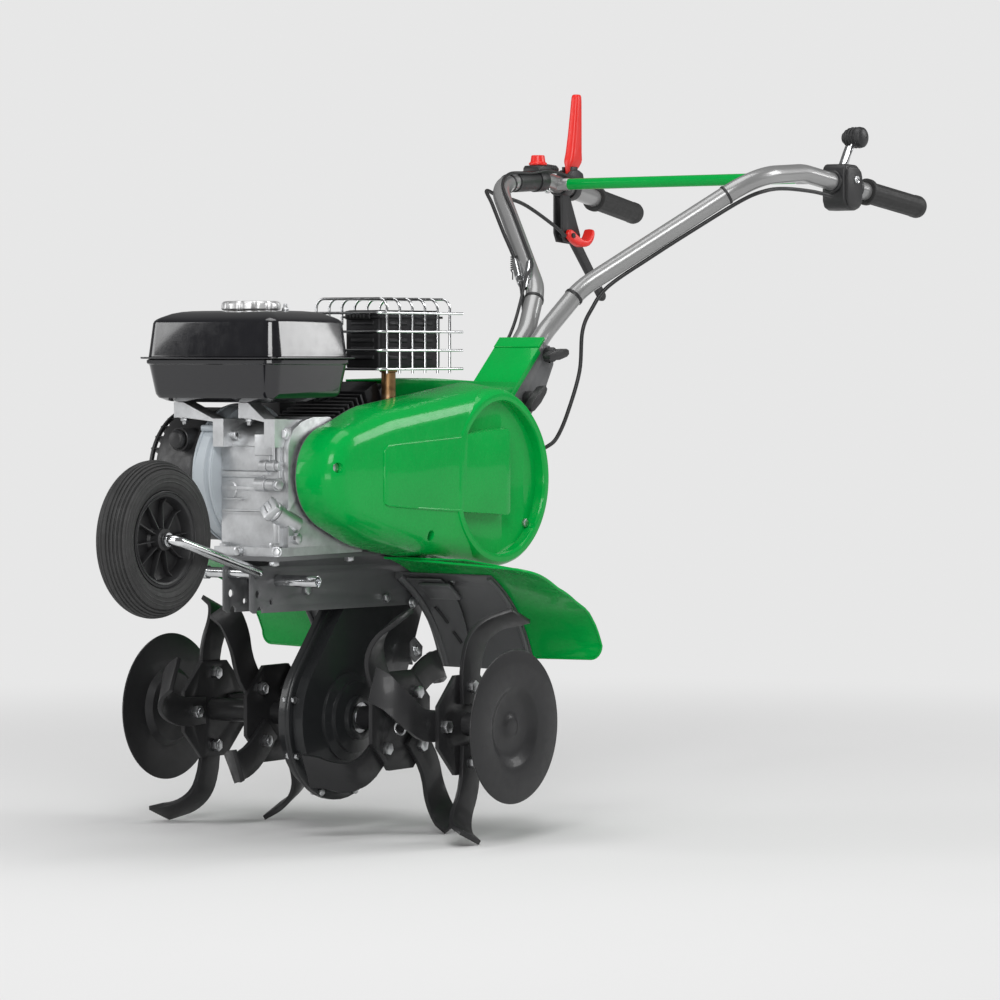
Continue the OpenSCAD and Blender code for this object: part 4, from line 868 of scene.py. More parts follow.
def recoil_shape(crank):
    """Starter cover: drum with ribs round its end, a screwed rim and the rope's boss."""
    middle = (0, crank.y, crank.z)
    rib_ring = [(85, -162), (88.4, -162), (90.2, -160), (90.2, -156.5), (85, -156.5), (85, -162)]
    boss_ring = [(13.4, 0), (13.4, 2.4), (14.2, 3), (15.4, 3), (16.2, 2.2), (16.2, -6), (13.4, 0)]
    pieces = [dressed("recoil_cover", 1.4, 3), turned("rib_ring", rib_ring, middle, (1, 0, 0), 96)]
    rib = pad("rib", (-163.5, 70, -1.3), (-146, 88.6, 1.3), 0.6)
    for k in range(STARTER_RIBS):
        turn = Matrix.Rotation(math.radians(360 / STARTER_RIBS * k), 4, "X")
        pieces.append(copied(rib, "rib", Matrix.Translation(middle) @ turn))
    bpy.data.objects.remove(rib)
    low, high = box_of("starter_grip")
    boss = (low + high) / 2
    pieces.append(turned("boss_ring", boss_ring, (boss.x, crank.y - 96, boss.z), (0, -1, 0)))
    return joined("recoil_drum", pieces)


def shroud_shape(crank):
    """Blower band with a raised, kinked panel on its front, rolled rims and a ledge on its top."""
    band_r, panel_r, panel_x = 94, 101, -60
    lips = []
    for x in (-75.6, -48):
        outline = [(94, x - 2.2), (97.4, x - 1.8), (98, x), (97.4, x + 1.8), (94, x + 2.2), (94, x - 2.2)]
        lips.append(turned("lip", outline, (0, crank.y, crank.z), (1, 0, 0), 96))
    rings = []
    for k in range(13):
        a = math.radians(148 + 7 * k)
        middle = panel_x - 4.5 + abs(k - 5) * 0.75
        half = 9.5 - abs(k - 6) * 0.55
        edge = [(middle + step, r) for step, r in
                ((-half - 3, band_r), (-half, panel_r), (half, panel_r), (half + 3, band_r))]
        rings.append([(x, crank.y + r * math.cos(a), crank.z + r * math.sin(a)) for x, r in edge])
    panel = smooth(loft("raised_panel", rings), 12)
    ledge = pad("ledge", (-78, crank.y - 80, crank.z + 60), (-36, crank.y - 46, crank.z + 69), 3, 3)
    return joined("shroud_band", [dressed("blower_housing", 1.4, 3), panel, ledge] + lips)


def case_tube(y, z, steps):
    """Stepped tube along X with a hollow end."""
    end, bore, deep = steps[-1][1], 3, 8
    outline = [(0, steps[0][0])]
    for a, b, r in steps:
        outline += [(r - 0.7, a), (r, a + 0.7), (r, b - 0.7), (r - 0.7, b)]
    outline += [(bore, end), (bore, end - deep), (0, end - deep)]
    return turned("tube_boss", outline, (0, y, z), (1, 0, 0), 32)


def crankcase_details(crank):
    """Bosses, ribs and the raised face on the casting's front."""
    y = crank.y + CASE_FRONT
    upper_boss = [(0, -48), (6.4, -48), (6.4, -20), (5.6, -19), (3, -19), (3, -26), (0, -26)]
    round_pad = [(0, 2), (12, 2), (13, 1.2), (13.4, -2), (0, -2)]
    lug = [(0, 4), (8, 4), (9.4, 2.6), (10, -12), (0, -12)]
    pieces = [case_tube(y - 3, z, steps) for z, steps in CASE_TUBES]
    for name, outline, (x, before, z), aim, steps in (
        ("upper_boss", upper_boss, UPPER_BOSS, (1, 0, 0), 32),
        ("round_pad", round_pad, ROUND_PAD, (0, -1, 0), 48),
        ("lug", lug, CASE_LUG, (0.3, -1, 0), 32),
    ):
        pieces.append(turned(name, outline, (x, y - before, z), aim, steps))
    pieces.append(rod("ridge", [(-42, y + 1.5, RIDGE_Z), (27, y + 1.5, RIDGE_Z)], 5, 16))
    for x0, x1, out, z0, z1 in CASE_RIBS:
        pieces.append(pad("rib", (x0, y - out, z0), (x1, y + 2, z1), 1.2, 3))
    pieces.append(pad("raised_face", (-40, y - 1.6, 509), (40, y + 4, 543), 1.5, 3))
    pieces.append(pad("stepped_face", (14, y - 3.4, 530), (46, y + 4, 560), 2, 3))
    return joined("crankcase_details", pieces)


class TILLER_OT_tank(bpy.types.Operator):
    """Presses the fuel tank and turns its cap"""

    bl_idname = "tiller.tank"
    bl_label = "Fuel tank"

    def execute(self, context):
        crank = spot(CRANK)
        low, high = box_of("fuel_tank")
        high.z -= NECK_RISE
        neck = Vector((FUEL_NECK[0], crank.y + FUEL_NECK[1], high.z))
        filler = [(23, 10), (26, 10), (27, 9), (27, 0), (34, -1), (36, -4), (23, -4)]
        shells = tank_shape(low, high, mm(context.scene.tiller_sizes.tank_flange))
        shells.append(turned("filler", filler, neck, (0, 0, 1), 64))
        placed(joined("tank", shells), FINISH["tank_paint"], "fuel_tank")
        placed(cap_shape(neck + Vector((0, 0, 0.6))), FINISH["cap_metal"], "fuel_cap", slot="steel")
        stud = hex_head("tank_stud", neck + Vector((50, 12, -1)), (0, 0, 1), 5, 5, 6)
        placed(stud, FINISH["steel"], body=BODY_OF["fuel_tank"], slot="steel")
        return {"FINISHED"}


class TILLER_OT_crankcase(bpy.types.Operator):
    """Adds the oil cap, the bolts and the bosses and ribs of the casting"""

    bl_idname = "tiller.crankcase"
    bl_label = "Crankcase"

    def execute(self, context):
        crank = spot(CRANK)
        filler = Vector(OIL_FILLER) + Vector((0, crank.y, crank.z))
        cap = oil_cap_shape(filler + OIL_LEAN * OIL_NECK)
        placed(cap, FINISH["cast_alloy"], "oil_dipstick", slot="cast_alloy")
        solid = dressed("crankcase", 0, 0, 30, 0)
        casting = joined("crankcase_dressed", [solid, crankcase_details(crank), filler_neck(filler)])
        placed(casting, FINISH["cast_alloy"], "crankcase")
        foot_y, foot_z = crank.y - FOOT_BEFORE, box_of("fuel_tank")[0].z - FOOT_BELOW
        bolts = [hex_head("foot_bolt", (x, foot_y, foot_z), (0, 0, -1), 6.2, 5, 5) for x in TANK_FEET]
        for x, before, z, aim, radius in CASE_BOLTS:
            bolts.append(hex_head("bolt", (x, crank.y - before, z), aim, radius, 5.5))
        placed(joined("engine_bolts", bolts), FINISH["steel"], body=BODY_OF["crankcase"], slot="steel")
        return {"FINISHED"}


class TILLER_OT_starter(bpy.types.Operator):
    """Dresses the blower housing and the starter's ribbed cover"""

    bl_idname = "tiller.starter"
    bl_label = "Blower and starter"

    def execute(self, context):
        crank = spot(CRANK)
        placed(shroud_shape(crank), FINISH["shroud"], "blower_housing")
        placed(recoil_shape(crank), FINISH["black_plastic"], "recoil_cover")
        return {"FINISHED"}


class TILLER_OT_exhaust(bpy.types.Operator):
    """Models the muffler, its wire guard and its pipe"""

    bl_idname = "tiller.exhaust"
    bl_label = "Exhaust"

    def execute(self, context):
        wire = mm(context.scene.tiller_sizes.guard_wire)
        low, high = box_of("muffler")
        placed(muffler_shape(low, high), FINISH["iron"], "muffler")
        # Black discs on the lip: painted shade for its holes, not cut openings.
        placed(hole_shade_discs(low, high), FINISH["black_plastic"], body=BODY_OF["muffler"], slot="iron")
        placed(guard_wires(*box_of("muffler_guard"), wire), FINISH["chrome"], "muffler_guard")
        placed(pipe_shape(*box_of("exhaust_pipe")), FINISH["bronze"], "exhaust_pipe")
        return {"FINISHED"}


# Handlebar and controls

BAR = [(14.6, 443.5, 650.1), (17, 500.1, 702.3), (40, 560, 766.2), (238, 742, 937.2), (238, 880, 946.2),
       (268, 1189, 902.2)]
CLUTCH_CABLE = [(-230.7, 926, 858.2), (-232, 890, 876.2), (-240, 820, 906.2), (-248, 760, 918.2),
                (-243, 721, 924.2), (-209, 687, 902.2), (-153, 636, 856.2), (-97, 587, 810.2),
                (-58, 546, 770.2), (-46, 536, 712.2), (-46, 526, 662.2), (-45, 500, 602.2), (-44, 470, 570.2)]
REVERSE_CABLE = [(-230, 953.6, 951.2), (-228, 932, 954.2), (-225, 900, 958.2), (-222.6, 858, 960.2),
                 (-225, 820, 955.2), (-225, 760, 952.2), (-206, 712, 931.2), (-156, 667, 888.2),
                 (-106, 621, 845.2), (-57, 572, 804.2), (-51, 548, 783.7), (-43, 524, 752.2),
                 (-36.5, 502, 725.2), (-33, 485.5, 705.7), (-31, 470, 689.7), (-31, 451, 671.8)]
SHIFT_CABLE = [(250, 950, 912.2), (244, 900, 918.2), (240, 820, 920.2), (240, 760, 914.2), (220, 727, 899.2),
               (169.5, 680.5, 857.7), (120, 635, 815.2), (71, 590, 770.2), (54, 570, 736.2), (49, 552, 702.2),
               (49, 544, 642.2), (47, 516, 582.2), (46, 490, 546.2)]
# The last stretches of two cables, into the open back of the column
CLUTCH_END = [(-42, 456, 556), (-34, 438, 545), (-22, 414, 538), (-14, 390, 538), (-12, 356, 546)]
SHIFT_END = [(43, 470, 532), (32, 444, 523), (18, 414, 521), (9, 384, 527), (8, 344, 538)]
TUBE_R = 14
# Places along the bars, by their Y
THROTTLE_SLEEVE_Y = 824
THROTTLE_Y = 858
CROSS_Y = 908
LATCH_Y = 932
REVERSE_Y = 962
SELECTOR_Y = 986
# From the bar: the latch's pivot, the reverse lever's foot, the selector's screw and the gear lever's pivot
LATCH_DROP = Vector((0, 6, -80))
REVERSE_RISE = Vector((0, 0, TUBE_R + 15))
SELECTOR_SCREW = Vector((22, 4, 8))
GEAR_PIVOT = Vector((0, 0, 24))
# The gear lever's knob, from its pivot
GEAR_KNOB = Vector((0, 38, 51))
CROSS_R = 9
# Small fittings on the right-hand bar
BELLOWS_AT = (-243, 888, 966)
BALL_AT = (-232, 876, 930)
SPRING_AT = (-104, 594, 818)
SPRING_END = [(-108, 596, 792), (-112, 602, 782)]
# Ties on the tubes: side of the machine, the point they are nearest to and their width
TIES = [(1, (35, 548, 754), 5), (-1, (-30, 534, 739), 5), (-1, (-238, 770, 939), 4), (1, (150, 661, 862), 4)]
# Ends of the two cable adjusters
ADJUSTERS = [((-98, 588, 811), (-60, 548, 772)), ((-68, 586, 812), (-46, 541, 767))]
# Sections of the reverse paddle: height, step back, half width and half thickness
PADDLE = [(-7, 0, 6, 5.4), (0, 2, 9.6, 5.7), (8, 7, 15.5, 5.8), (15, 9, 17, 8.6), (20, 10, 16.5, 9.4),
          (30, 11.4, 14.6, 9), (60, 14.6, 12, 8.2), (95, 17.6, 9.6, 7.4), (114, 19, 8.4, 7),
          (120, 19.4, 7.8, 6.6), (123.4, 19.6, 7, 5.8), (124.8, 19.6, 5, 4)]
# Sections of the latch along its curl: Y, Z, half width and half thickness
LATCH = [(-9, 4, 4, 5), (-4, 3, 4.8, 8.4), (3, -1, 5.2, 9), (12, -8, 7, 8), (23, -13, 9.5, 6.4),
         (34, -12, 10.5, 5.4), (43, -5, 10.5, 4.4), (48, 4, 10.2, 3.4), (50, 12, 9, 2.4)]


def flip(points):
    """The same points on the machine's other side."""
    return [Vector((-p[0], p[1], p[2])) for p in points]


def along_bar(y, side=1):
    """Point on a handle tube's middle line behind the bend, and the tube's direction there."""
    a, b = (Vector(p) for p in (BAR[3:5] if y < BAR[4][1] else BAR[4:6]))
    d = (b - a).normalized()
    p = a + d * (y - a.y) / d.y
    return (p, d) if side > 0 else (flip([p])[0], flip([d])[0])


def collar(name, line, near, radius, width, rise=1.2):
    """Band round a tube where its line comes nearest to a point."""
    k = min(range(1, len(line) - 1), key=lambda i: (Vector(line[i]) - Vector(near)).length)
    d = (Vector(line[k + 1]) - Vector(line[k - 1])).normalized()
    w, inner, shoulder, outer = width / 2, radius - 1, radius + rise * 0.7, radius + rise
    front = [(inner, -w), (shoulder, -w), (outer, -w + 0.6)]
    outline = front + [(r, -h) for r, h in reversed(front)] + front[:1]
    return turned(name, outline, line[k], d, 40)


def grip_shape():
    """Rubber grip with a collar, shallow flutes and a rounded end."""
    length, flutes, deep, flute_start, flute_end = 143, 14, 0.035, 9, 127
    outline = [(14, -3), (20, -3), (21, -2), (21, 4.6), (20, 6), (17.2, 7.6), (17, 10), (17, 126),
               (17.4, 130), (18, 133), (18, 142), (17, 145.4), (14.6, 146.8), (0, 147)]
    grip = lathe("grip", outline, (0, 0, 0), (0, 0, 1), 84)
    for v in grip.data.vertices:
        if flute_start < v.co.z < flute_end:
            a = math.atan2(v.co.y, v.co.x)
            k = 1 + deep * (0.5 + 0.5 * math.cos(flutes * a))
            v.co.x, v.co.y = v.co.x * k, v.co.y * k
    end, d = Vector(BAR[5]), (Vector(BAR[5]) - Vector(BAR[4])).normalized()
    grip.data.transform(axes(d, end - d * length))
    return smooth(grip, 34)


def lever_shape(pivot):
    """Tapered red paddle with a flared foot."""
    rings = []
    for z, y, wide, thick in PADDLE:
        line = round_box(thick, wide, min(thick, wide) * 0.72, 6)
        rings.append([(pivot.x + a, pivot.y + y + b, pivot.z + z) for a, b in line])
    return smooth(loft("reverse_paddle", rings), 50)


def latch_shape(pivot):
    """Red saddle that curls back under the lever and widens to a thumb tab."""
    rings = []
    for k, (y, z, wide, thick) in enumerate(LATCH):
        before, after = LATCH[max(k - 1, 0)], LATCH[min(k + 1, len(LATCH) - 1)]
        d = Vector((0, after[0] - before[0], after[1] - before[1])).normalized()
        middle = pivot + Vector((9.9 + 0.9 * wide, y, z))
        line = round_box(wide, thick, 0.7 * min(wide, thick), 4)
        rings.append([middle + Vector((p, -d.z * q, d.y * q)) for p, q in line])
    return subdivided(loft("latch", rings), 1)


def knob_ribs(place):
    """Barrel-shaped knob: ribs on its inner part, a smooth dome on its outer end."""
    half, barrel_end, ribs_end, pitch, deep = 20, 12, 7, 5.4, 2.6
    outline = [(0, -half)]
    for k in range(81):
        x = -half + 0.5 * k
        if x < barrel_end:
            r = 17.4 * math.sqrt(max(0, 1 - ((x - 2) / 25) ** 2))
        else:
            r = 16 * math.sqrt(max(0, 1 - ((x - barrel_end) / 8.01) ** 2))
        groove = deep * (0.5 - 0.5 * math.cos(2 * math.pi * (x + half) / pitch)) if x < ribs_end else 0
        outline.append((max(0, min(r, 16.8) - groove), x))
    return smooth(lathe("ribbed_knob", outline, place, (1, 0, 0), 56), 40)


def selector_shape(middle, d):
    """Moulded selector housing: rounded box with a raised side panel and a sleeve round the tube."""
    outline = [(-26, 26), (-20, 32), (12, 31), (24, 24), (28, 14), (28, -28), (22, -36), (8, -40), (-10, -40),
               (-22, -36), (-27, -26), (-28, 16)]
    body = soften(slab("housing", outline, -22, 19), 4, 4, 20)
    panel = soften(slab("panel", [(y * 0.86, z * 0.9 - 0.6) for y, z in outline], 17, 22), 2.2, 3, 20)
    sleeve = [(14, -32), (17, -32), (18, -31), (18, 33), (17, 34), (14, 34), (14, -32)]
    piece = joined("selector_housing", [body, panel, turned("sleeve", sleeve, (0, 0, 0), d)])
    piece.data.transform(Matrix.Translation(middle))
    return piece


def bar_fittings(line):
    """Dark ties, throttle sleeve, bellows and spring on the tubes."""
    lines = {1: line, -1: flip(line)}
    pieces = [collar("tie", lines[side], near, TUBE_R, width) for side, near, width in TIES]
    sleeve = [(14, -34), (15.6, -34), (16.4, -33), (16.4, 44), (15, 48), (14, 48), (14, -34)]
    pieces.append(turned("throttle_sleeve", sleeve, *along_bar(THROTTLE_SLEEVE_Y, -1)))
    bellows = [(4, 0)] + [(5.6 + 1.2 * (k % 2), 2 + 2.6 * k) for k in range(11)] + [(4, 32)]
    pieces.append(turned("bellows", bellows, BELLOWS_AT, (0, 1, -0.05), 24))
    x, y, z = SPRING_AT
    coil = [(x + 5 * math.cos(k * 0.7), y + 5 * math.sin(k * 0.7), z - 0.36 * k) for k in range(60)]
    pieces.append(rod("spring", coil + SPRING_END, 1, 8))
    return joined("ties_and_sleeves", pieces)


def bright_fittings():
    """Cable adjusters and the ball at the throttle's cable."""
    ball_r = 5.5
    pieces = []
    for a, b in ADJUSTERS:
        a, b = Vector(a), Vector(b)
        n = (b - a).length
        outline = [(2, 0), (4.2, 0), (4.4, 8), (6.2, 9), (6.4, n * 0.7), (5.2, n * 0.72), (5.2, n - 6),
                   (4, n - 5), (4, n), (2, n)]
        pieces.append(turned("adjuster", outline, a, b - a, 24))
    turns = [math.radians(12 * k) for k in range(16)]
    ball = [(ball_r * math.sin(a), -ball_r * math.cos(a)) for a in turns]
    pieces.append(turned("ball", ball, BALL_AT, (0, 0, 1), 24))
    return joined("bright_fittings", pieces)


def throttle_shape(throttle, low, high):
    """Sixteen-sided red knob on a wider foot."""
    turns = [math.radians(11.25 + 22.5 * k) for k in range(16)]
    rings = []
    for r, z in ((14.5, low), (14.5, low + 4), (12, low + 5), (10.5, high)):
        rings.append([(throttle.x + r * math.cos(a), throttle.y + r * math.sin(a), z) for a in turns])
    return soften(loft("throttle", rings), 1.2, 3, 25)


def lever_housings(throttle, reverse, knob_z):
    """Clamps of the levers with the throttle's seat and the reverse lever's cheeks."""
    top = knob_z - 0.6
    seat = [(-17, top), (15, top), (19, knob_z - 6), (19, knob_z - 14), (-21, knob_z - 14), (-21, knob_z - 5)]
    seat = [(throttle.y + y, z) for y, z in seat]
    cheek = [(-22, 6), (20, 2), (24, 12), (20, 26), (8, 31), (-10, 31), (-20, 24)]
    cheek = [(reverse.y + y, reverse.z + z) for y, z in cheek]
    pieces = [dressed("lever_clamps", 1.0, 3)]
    pieces.append(soften(slab("throttle_seat", seat, throttle.x - 15, throttle.x + 15), 2, 3))
    for x in (reverse.x + 6.6, reverse.x - 13.6):
        pieces.append(soften(slab("cheek", cheek, x, x + 7), 2.4, 3, 20))
    return joined("lever_housings", pieces)


def gear_strip(pivot, top):
    """Bright strip of the gear lever and the neck under its knob."""
    outline = [(-6, 0.0), (-6, 6), (10, 30), (16, 38), (22, 34), (18, 26), (6, 0)]
    outline = [(pivot.y + y, pivot.z + z) for y, z in outline]
    strip = soften(slab("strip", outline, pivot.x - 5.4, pivot.x + 5.4), 1.2, 2)
    return joined("gear_strip", [strip, rod("neck", [pivot + Vector((0, 14, 19)), top], 4, 24)])


class TILLER_OT_handlebar(bpy.types.Operator):
    """Bends the tubes and cables and adds the cross bar, grips and fittings"""

    bl_idname = "tiller.handlebar"
    bl_label = "Handlebar"

    def execute(self, context):
        body, plastic = BODY_OF["handle_tubes"], FINISH["black_plastic"]
        line = arc_line(BAR, mm(context.scene.tiller_sizes.bar_bend), 16)
        tubes = [rod("tube", dense(side), TUBE_R, 40) for side in (line, flip(line))]
        placed(joined("tubes", tubes), FINISH["tube_paint"], "handle_tubes")
        bar, _ = along_bar(CROSS_Y)
        ends, level = bar.x - 12, bar.z - 2
        cross = rod("cross_tube", [(-ends, CROSS_Y, level), (ends, CROSS_Y, level)], CROSS_R, 40)
        placed(cross, FINISH["green_paint"], "cross_bar")
        sleeve = [(8.6, -16), (9.4, -16), (10, -15), (10.2, 4), (8.6, 4), (8.6, -16)]
        sleeves = []
        for side in (-1, 1):
            sleeves.append(turned("sleeve", sleeve, (side * (ends - 2), CROSS_Y, level), (side, 0, 0), 40))
        placed(joined("cross_sleeves", sleeves), FINISH["tube_paint"], body=body, slot="tube_paint")
        placed(pair("grips", grip_shape()), FINISH["rubber"], "handle_grips")
        routes = ((CLUTCH_CABLE + CLUTCH_END, 3), (REVERSE_CABLE, 2.5), (SHIFT_CABLE + SHIFT_END, 3))
        cables = [rod("cable", spline_line(route), radius, 12) for route, radius in routes]
        placed(joined("cables", cables), plastic, "control_cables")
        placed(bar_fittings(line), plastic, body=body, slot="black_plastic")
        placed(bright_fittings(), FINISH["chrome"], body=body, slot="chrome")
        return {"FINISHED"}


class TILLER_OT_controls(bpy.types.Operator):
    """Models the throttle, the reverse and clutch levers with the latch, and the selector"""

    bl_idname = "tiller.controls"
    bl_label = "Controls"

    def execute(self, context):
        plastic, red = FINISH["black_plastic"], FINISH["red_plastic"]
        throttle, _ = along_bar(THROTTLE_Y, -1)
        reverse, _ = along_bar(REVERSE_Y, -1)
        low, high = box_of("throttle_knob")
        placed(throttle_shape(throttle, low.z, high.z), red, "throttle_knob")
        placed(lever_shape(reverse + REVERSE_RISE), red, "reverse_lever")
        placed(lever_housings(throttle, reverse, low.z), plastic, "lever_clamps")
        placed(dressed("clutch_lever", 3.4, 4), plastic, "clutch_lever")
        latch, _ = along_bar(LATCH_Y, -1)
        placed(latch_shape(latch + LATCH_DROP), red, "safety_latch")
        selector, d = along_bar(SELECTOR_Y)
        placed(selector_shape(selector, d), plastic, "selector_box")
        head = [(0, 3.4), (2, 3.4), (2.4, 2.2), (5.4, 2.8), (6.2, 1.6), (6.2, -1), (0, -1)]
        screw = turned("screw", head, selector + SELECTOR_SCREW, (1, 0, 0), 32)
        placed(screw, FINISH["chrome"], body=BODY_OF["selector_box"], slot="steel")
        pivot = selector + GEAR_PIVOT
        top = pivot + GEAR_KNOB
        placed(gear_strip(pivot, top), FINISH["chrome"], body=BODY_OF["gear_lever"], slot="chrome")
        placed(knob_ribs(top), plastic, "gear_lever")
        return {"FINISHED"}


# Belt cover, sheet metal, tines and discs

FENDER_R = 228
FENDER_IN, FENDER_NOTCH, FENDER_OUT = 52, 184, 300
FENDER_LOW, FENDER_STEP, FENDER_TOP = 20, 45, 79
# Round corners of the fender, in X and degrees
LOW_CORNER, TOP_CORNER = (16, 4), (22, 6)
# How far the fender's outer edge stands off its radius: degrees, distance
FENDER_FLARE = [(20, 6), (24, 14), (31, 13.8), (39, 9.5), (46, -2), (60, -13.5), (79, -13)]
FLARE_START, FLARE_WIDTH = 190, 110
GUARD_R = 223.7
# Black rods painted as the shade in the guard strip's slots: X and degrees of both ends
SLOT_SHADE_ENDS = [(58, 43, 66, 35), (70, 31, 78, 26)]
GUARD_BOLTS = [(154, 342), (142, 314), (152, 246)]
TINE_R = 165
# The straight part of a tine: radius, degrees behind its bolt and width
TINE_ARM = [(34, 0, 44), (60, 0, 44), (75, 0.6, 44), (90, 2.4, 45), (104, 5, 46)]
TINE_BEND_AT, TINE_BEND, TINE_TILT = 113, 44, 64
# The two plates of a half's tines: X and the first tine's turn
TINE_PLATES = [(109, -45), (221, 0)]
DISC_X = 300
# The column cover's fold as Y and height above the tine axle, directions along and off its face, half width
COLUMN_FOLD = (446.4, 516.2)
COLUMN_ALONG, COLUMN_OUT = Vector((0.7349, 0.6782)), Vector((-0.6782, 0.7349))
COLUMN_HALF = 40.6


def fender_flare(x, deg):
    """How far the fender stands off its radius at a place."""
    share = min(1, max(0, (x - FLARE_START) / FLARE_WIDTH))
    for (a, low), (b, high) in zip(FENDER_FLARE, FENDER_FLARE[1:]):
        if deg <= b or b == FENDER_TOP:
            return share * (low + (high - low) * (deg - a) / (b - a))


def round_axle(x, deg, r):
    """Point at a side step, an angle round the tine axle and a radius."""
    axle, a = spot(AXLE), math.radians(deg)
    return Vector((x, r * math.cos(a), axle.z + r * math.sin(a)))


def cut_across(piece, axis, places):
    """Cuts new edges across a piece at places along an axis."""
    for place in places:
        edit(piece)
        bpy.ops.mesh.bisect(plane_co=Vector(axis) * place, plane_no=axis)
        object_mode()


def rolled_sheet(name, outline, radius, thick, edge=0.8, flare=None):
    """Flat outline of (X, degrees round the tine axle) rolled to a radius and given its thickness."""
    step = 3
    piece = new_mesh(name, [(x, deg, 0) for x, deg in outline], (), [list(range(len(outline)))])
    low, high = min(d for _, d in outline), max(d for _, d in outline)
    first = math.ceil(low / step + 0.1) * step
    cut_across(piece, (0, 1, 0), range(first, math.ceil(high - 0.2), step))
    if flare:
        cut_across(piece, (1, 0, 0), range(FLARE_START, FLARE_START + 100, 25))
    for v in piece.data.vertices:
        off = flare(v.co.x, v.co.y) if flare else 0
        v.co = round_axle(v.co.x, v.co.y, radius + off)
    sheet = piece.modifiers.new("sheet", "SOLIDIFY")
    sheet.thickness = thick
    sheet.offset = 1 if piece.data.polygons[0].normal.dot(Vector((0, 1, 1))) < 0 else -1
    pick(piece)
    bpy.ops.object.modifier_apply(modifier=sheet.name)
    tidy(piece)
    return soften(piece, edge, 2, 40)


def corner(x, deg, size, start, steps=6):
    """Round corner of a rolled outline, in X and degrees."""
    points = []
    for k in range(steps + 1):
        a = math.radians(start + 90 * k / steps)
        points.append((x + size[0] * math.cos(a), deg + size[1] * math.sin(a)))
    return points


def fender_shape(thick):
    """Left fender: sheet with round outer corners and a beaded edge."""
    low = corner(FENDER_OUT - LOW_CORNER[0], FENDER_LOW + LOW_CORNER[1], LOW_CORNER, 270)
    top = corner(FENDER_OUT - TOP_CORNER[0], FENDER_TOP - TOP_CORNER[1], TOP_CORNER, 0)
    inner = [(FENDER_IN, FENDER_TOP), (FENDER_IN, FENDER_STEP)]
    inner += [(FENDER_NOTCH, FENDER_STEP), (FENDER_NOTCH, FENDER_LOW)]
    sheet = rolled_sheet("fender", inner + low + top, FENDER_R, thick, 0.8, fender_flare)
    side = [(FENDER_OUT, deg) for deg in range(26, 73, 3)]
    edge = inner[-1:] + low + side + top + inner[:1]
    bead = [round_axle(x, deg, FENDER_R - 1.4 + fender_flare(x, deg)) for x, deg in edge]
    return joined("fender_left", [sheet, rod("bead", bead, 1.9, 10)])


def guard_details():
    """Pressed bar, strip, lug and bolts on the left rear guard's front, with black rods as painted shade for the
    strip's slots, by their slot.
    """
    bar = [round_axle(33 + 0.004 * (deg - 62) ** 2, deg, GUARD_R - 3) for deg in range(62, 14, -2)]
    rim = [round_axle(185, deg, GUARD_R - 2) for deg in range(61, 15, -2)]
    strip = [(44, 61), (44, 16), (66, 16), (92, 30), (104, 50), (104, 61)]
    pocket = [(64, 60), (64, 50), (118, 50), (118, 60)]
    lug = [(140, 236), (150, 228), (166, 236), (168, 250), (150, 264), (140, 258)]
    pieces = [
        rod("bar", bar, 6.5, 16),
        rod("rim", rim, 3.4, 12),
        rolled_sheet("strip", strip, GUARD_R - 4.6, 2.4),
        rolled_sheet("pocket", pocket, GUARD_R - 9, 6, 2),
        soften(slab("lug", lug, 25, 29), 1, 2),
    ]
    bolts = [hex_head("bolt", (29, y, z), (1, 0, 0), 7, 5) for y, z in GUARD_BOLTS]
    # Black rods stand in for the strip's slots: painted shade, not openings.
    slot_shades = []
    for x0, deg0, x1, deg1 in SLOT_SHADE_ENDS:
        ends = ((x0, deg0), ((x0 + x1) / 2, (deg0 + deg1) / 2), (x1, deg1))
        slot_shades.append(rod("slot", [round_axle(x, deg, GUARD_R - 7.6) for x, deg in ends], 2.6, 8))
    return {"charcoal_paint": pieces, "steel": bolts, "black_plastic": slot_shades}


def swollen(piece, swelling):
    """Swells the belt cover or its backplate between nose and big end, most at the engine's side."""
    low, high = box_of("belt_cover")
    nose, end = spot(CRANK), spot(INPUT)
    cut_across(piece, (0, 1, 0), range(int(low.y) + 12, int(high.y), 14))
    for v in piece.data.vertices:
        along = (v.co.y - low.y) / (high.y - low.y)
        middle = nose.z + (end.z - nose.z) * along
        depth = min(1, max(0, (high.x - v.co.x) / (high.x - low.x)))
        above = ease((along - 0.08) / 0.2) * ease((0.96 - along) / 0.2) * ease((v.co.z - middle) / 70)
        below = ease((along - 0.03) / 0.22) * ease((0.8 - along) / 0.5) * ease((middle - v.co.z) / 70)
        v.co.z += swelling * (above - below) * (0.4 + 0.6 * depth)
    return smooth(piece, 32)


def panel_bead():
    """Fine bead round the front of the belt cover's panel."""
    crank, face = spot(CRANK), box_of("belt_cover")[1].x - 1.4
    corners = [(228, 43.6), (56, 36.5), (49, 33), (47, 28), (47, -31), (49, -35), (56, -37.5), (232, -51)]
    return rod("panel_bead", [(face, crank.y + y, crank.z + z) for y, z in corners], 1.7, 12)


def column_lip():
    """Folded edge along the top of the column's cover."""
    fold = Vector((COLUMN_FOLD[0], spot(AXLE).z + COLUMN_FOLD[1]))
    section = [(2, -1), (2, 1.8), (23, 1.8), (23.4, -1)]
    outline = [fold + COLUMN_ALONG * along + COLUMN_OUT * out for along, out in section]
    return soften(slab("column_lip", outline, -COLUMN_HALF, COLUMN_HALF), 0.9, 3)


def tine_ring(r, lean, tilt, x, wide, thick):
    """Section of a tine: radius, degrees behind its bolt, degrees turned sideways, side step and width."""
    half = math.degrees(math.asin(wide / 2 / TINE_R)) * TINE_R / (r + thick / 2)
    turn = math.radians(tilt)
    points = []
    for side, edge in ((1, -1), (1, 1), (-1, 1), (-1, -1)):
        out = r + side * thick / 2 * math.sin(turn)
        a = math.radians(lean + edge * half)
        points.append((x - side * thick / 2 * math.cos(turn), -out * math.sin(a), -out * math.cos(a)))
    return points


